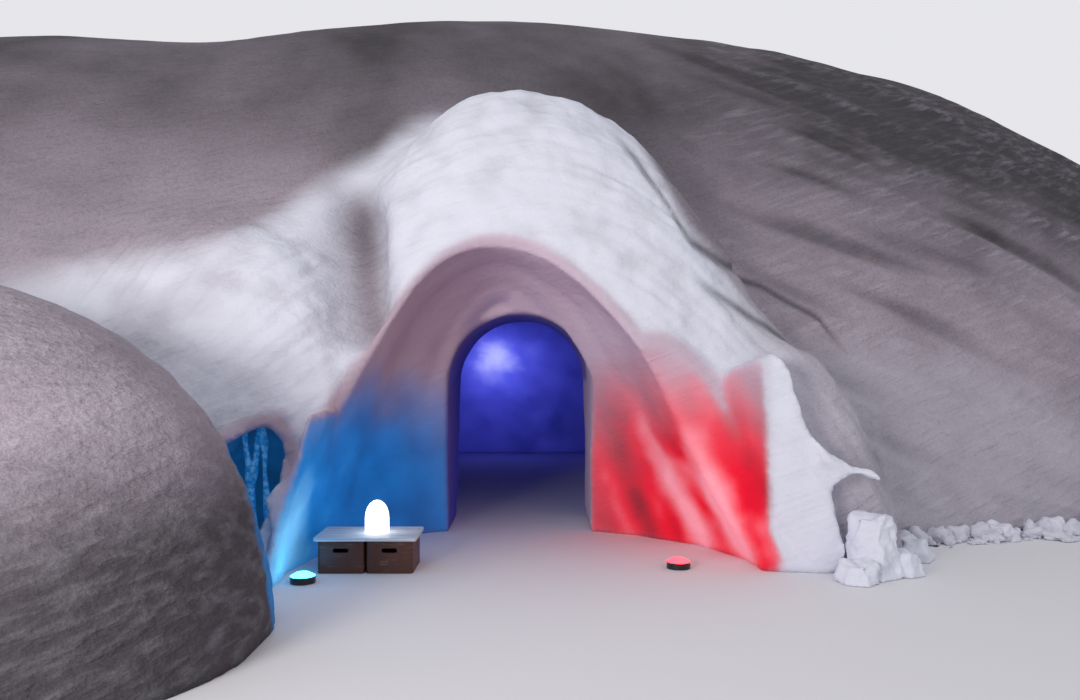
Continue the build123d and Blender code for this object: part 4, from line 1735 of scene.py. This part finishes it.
@dataclass
class Studio:
    """A plain pale floor and backdrop, soft lamps, and the camera at the photograph's viewing angle."""

    eye: tuple[float, float, float] = (-0.17, -10.2009, 1.5)
    focal: float = 900.0
    picture_width: float = 1080.0
    horizon_drop: float = 10.0
    floor_colour: str = "#e6e6ea"
    floor_reach: float = 400.0
    floor_gap: float = 0.002
    ambient: float = 0.72
    backdrop: float = 0.88
    key_power: float = 500.0
    key_size: float = 2.4
    key_place: tuple[float, float, float] = (-4.2, -11.6, 2.5)
    key_aim: tuple[float, float, float] = (0.4, -2.5, 9.6)

    def build(self) -> None:
        """Makes the floor, the light and the camera."""
        self.floor()
        self.light()
        self.camera()

    def floor(self) -> None:
        """A wide pale floor."""
        made, tree = blank_material("pale_matt_floor")
        shader = add_node(tree, "BsdfPrincipled", {"Base Color": self.floor_colour, "Roughness": 0.9})
        add_node(tree, "OutputMaterial", {"Surface": shader})
        reach = self.floor_reach
        corners = [(-reach, -reach, 0.0), (reach, -reach, 0.0), (reach, reach, 0.0), (-reach, reach, 0.0)]
        floor = mesh_object("studio_floor", corners, [[0, 1, 2, 3]])
        floor.location.z = -self.floor_gap
        floor.data.materials.append(made)

    def light(self) -> None:
        """A soft key from the front left, tilted up so that it leaves the floor even, and an even world."""
        world = bpy.data.worlds.new("soft_studio")
        bpy.context.scene.world = world
        world.use_nodes = True
        tree = world.node_tree
        tree.nodes.clear()
        shown = add_node(tree, "LightPath").outputs["Is Camera Ray"]
        level = add_node(tree, "MapRange", {"Value": shown, "To Min": self.ambient, "To Max": self.backdrop})
        back = add_node(tree, "Background", {"Color": "#f4f4f8", "Strength": level})
        add_node(tree, "OutputWorld", {"Surface": back})
        key = bpy.data.lights.new("key", "AREA")
        key.energy = self.key_power
        key.size = self.key_size
        key.color = linear("#fff8f2")[:3]
        lamp = placed("key", key)
        lamp.location = self.key_place
        lamp.rotation_euler = (Vector(self.key_aim) - lamp.location).to_track_quat("-Z", "Y").to_euler()

    def camera(self) -> None:
        """A level camera at a standing person's eye height."""
        made = bpy.data.cameras.new("view")
        made.sensor_width = 36.0
        made.lens = self.focal / self.picture_width * made.sensor_width
        made.shift_y = self.horizon_drop / self.picture_width
        made.clip_end = 500.0
        holder = placed("view", made)
        holder.location = self.eye
        holder.rotation_euler = (pi / 2, 0.0, 0.0)
        bpy.context.scene.camera = holder


def main() -> None:
    """Builds the classes in order; they log their sizes as they go."""
    logging.basicConfig(level=logging.INFO, format="%(message)s")
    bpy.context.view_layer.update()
    snow = WindPackedSnow().material("wind_packed_snow")
    skin = SnowSkin()
    skin.build(snow)
    FootClods().build(skin, snow)
    for node in ("snow_blocks", "foot_crumbs"):
        BrokenSnow().build(node, snow)
    IceStrands().build("niche_strands", BlueLitIce().material("blue_lit_ice"))
    LampTable().build()
    FloorLamps().build()
    Studio().build()
    bpy.context.scene.view_settings.view_transform = "Standard"


if __name__ == "__main__":
    main()
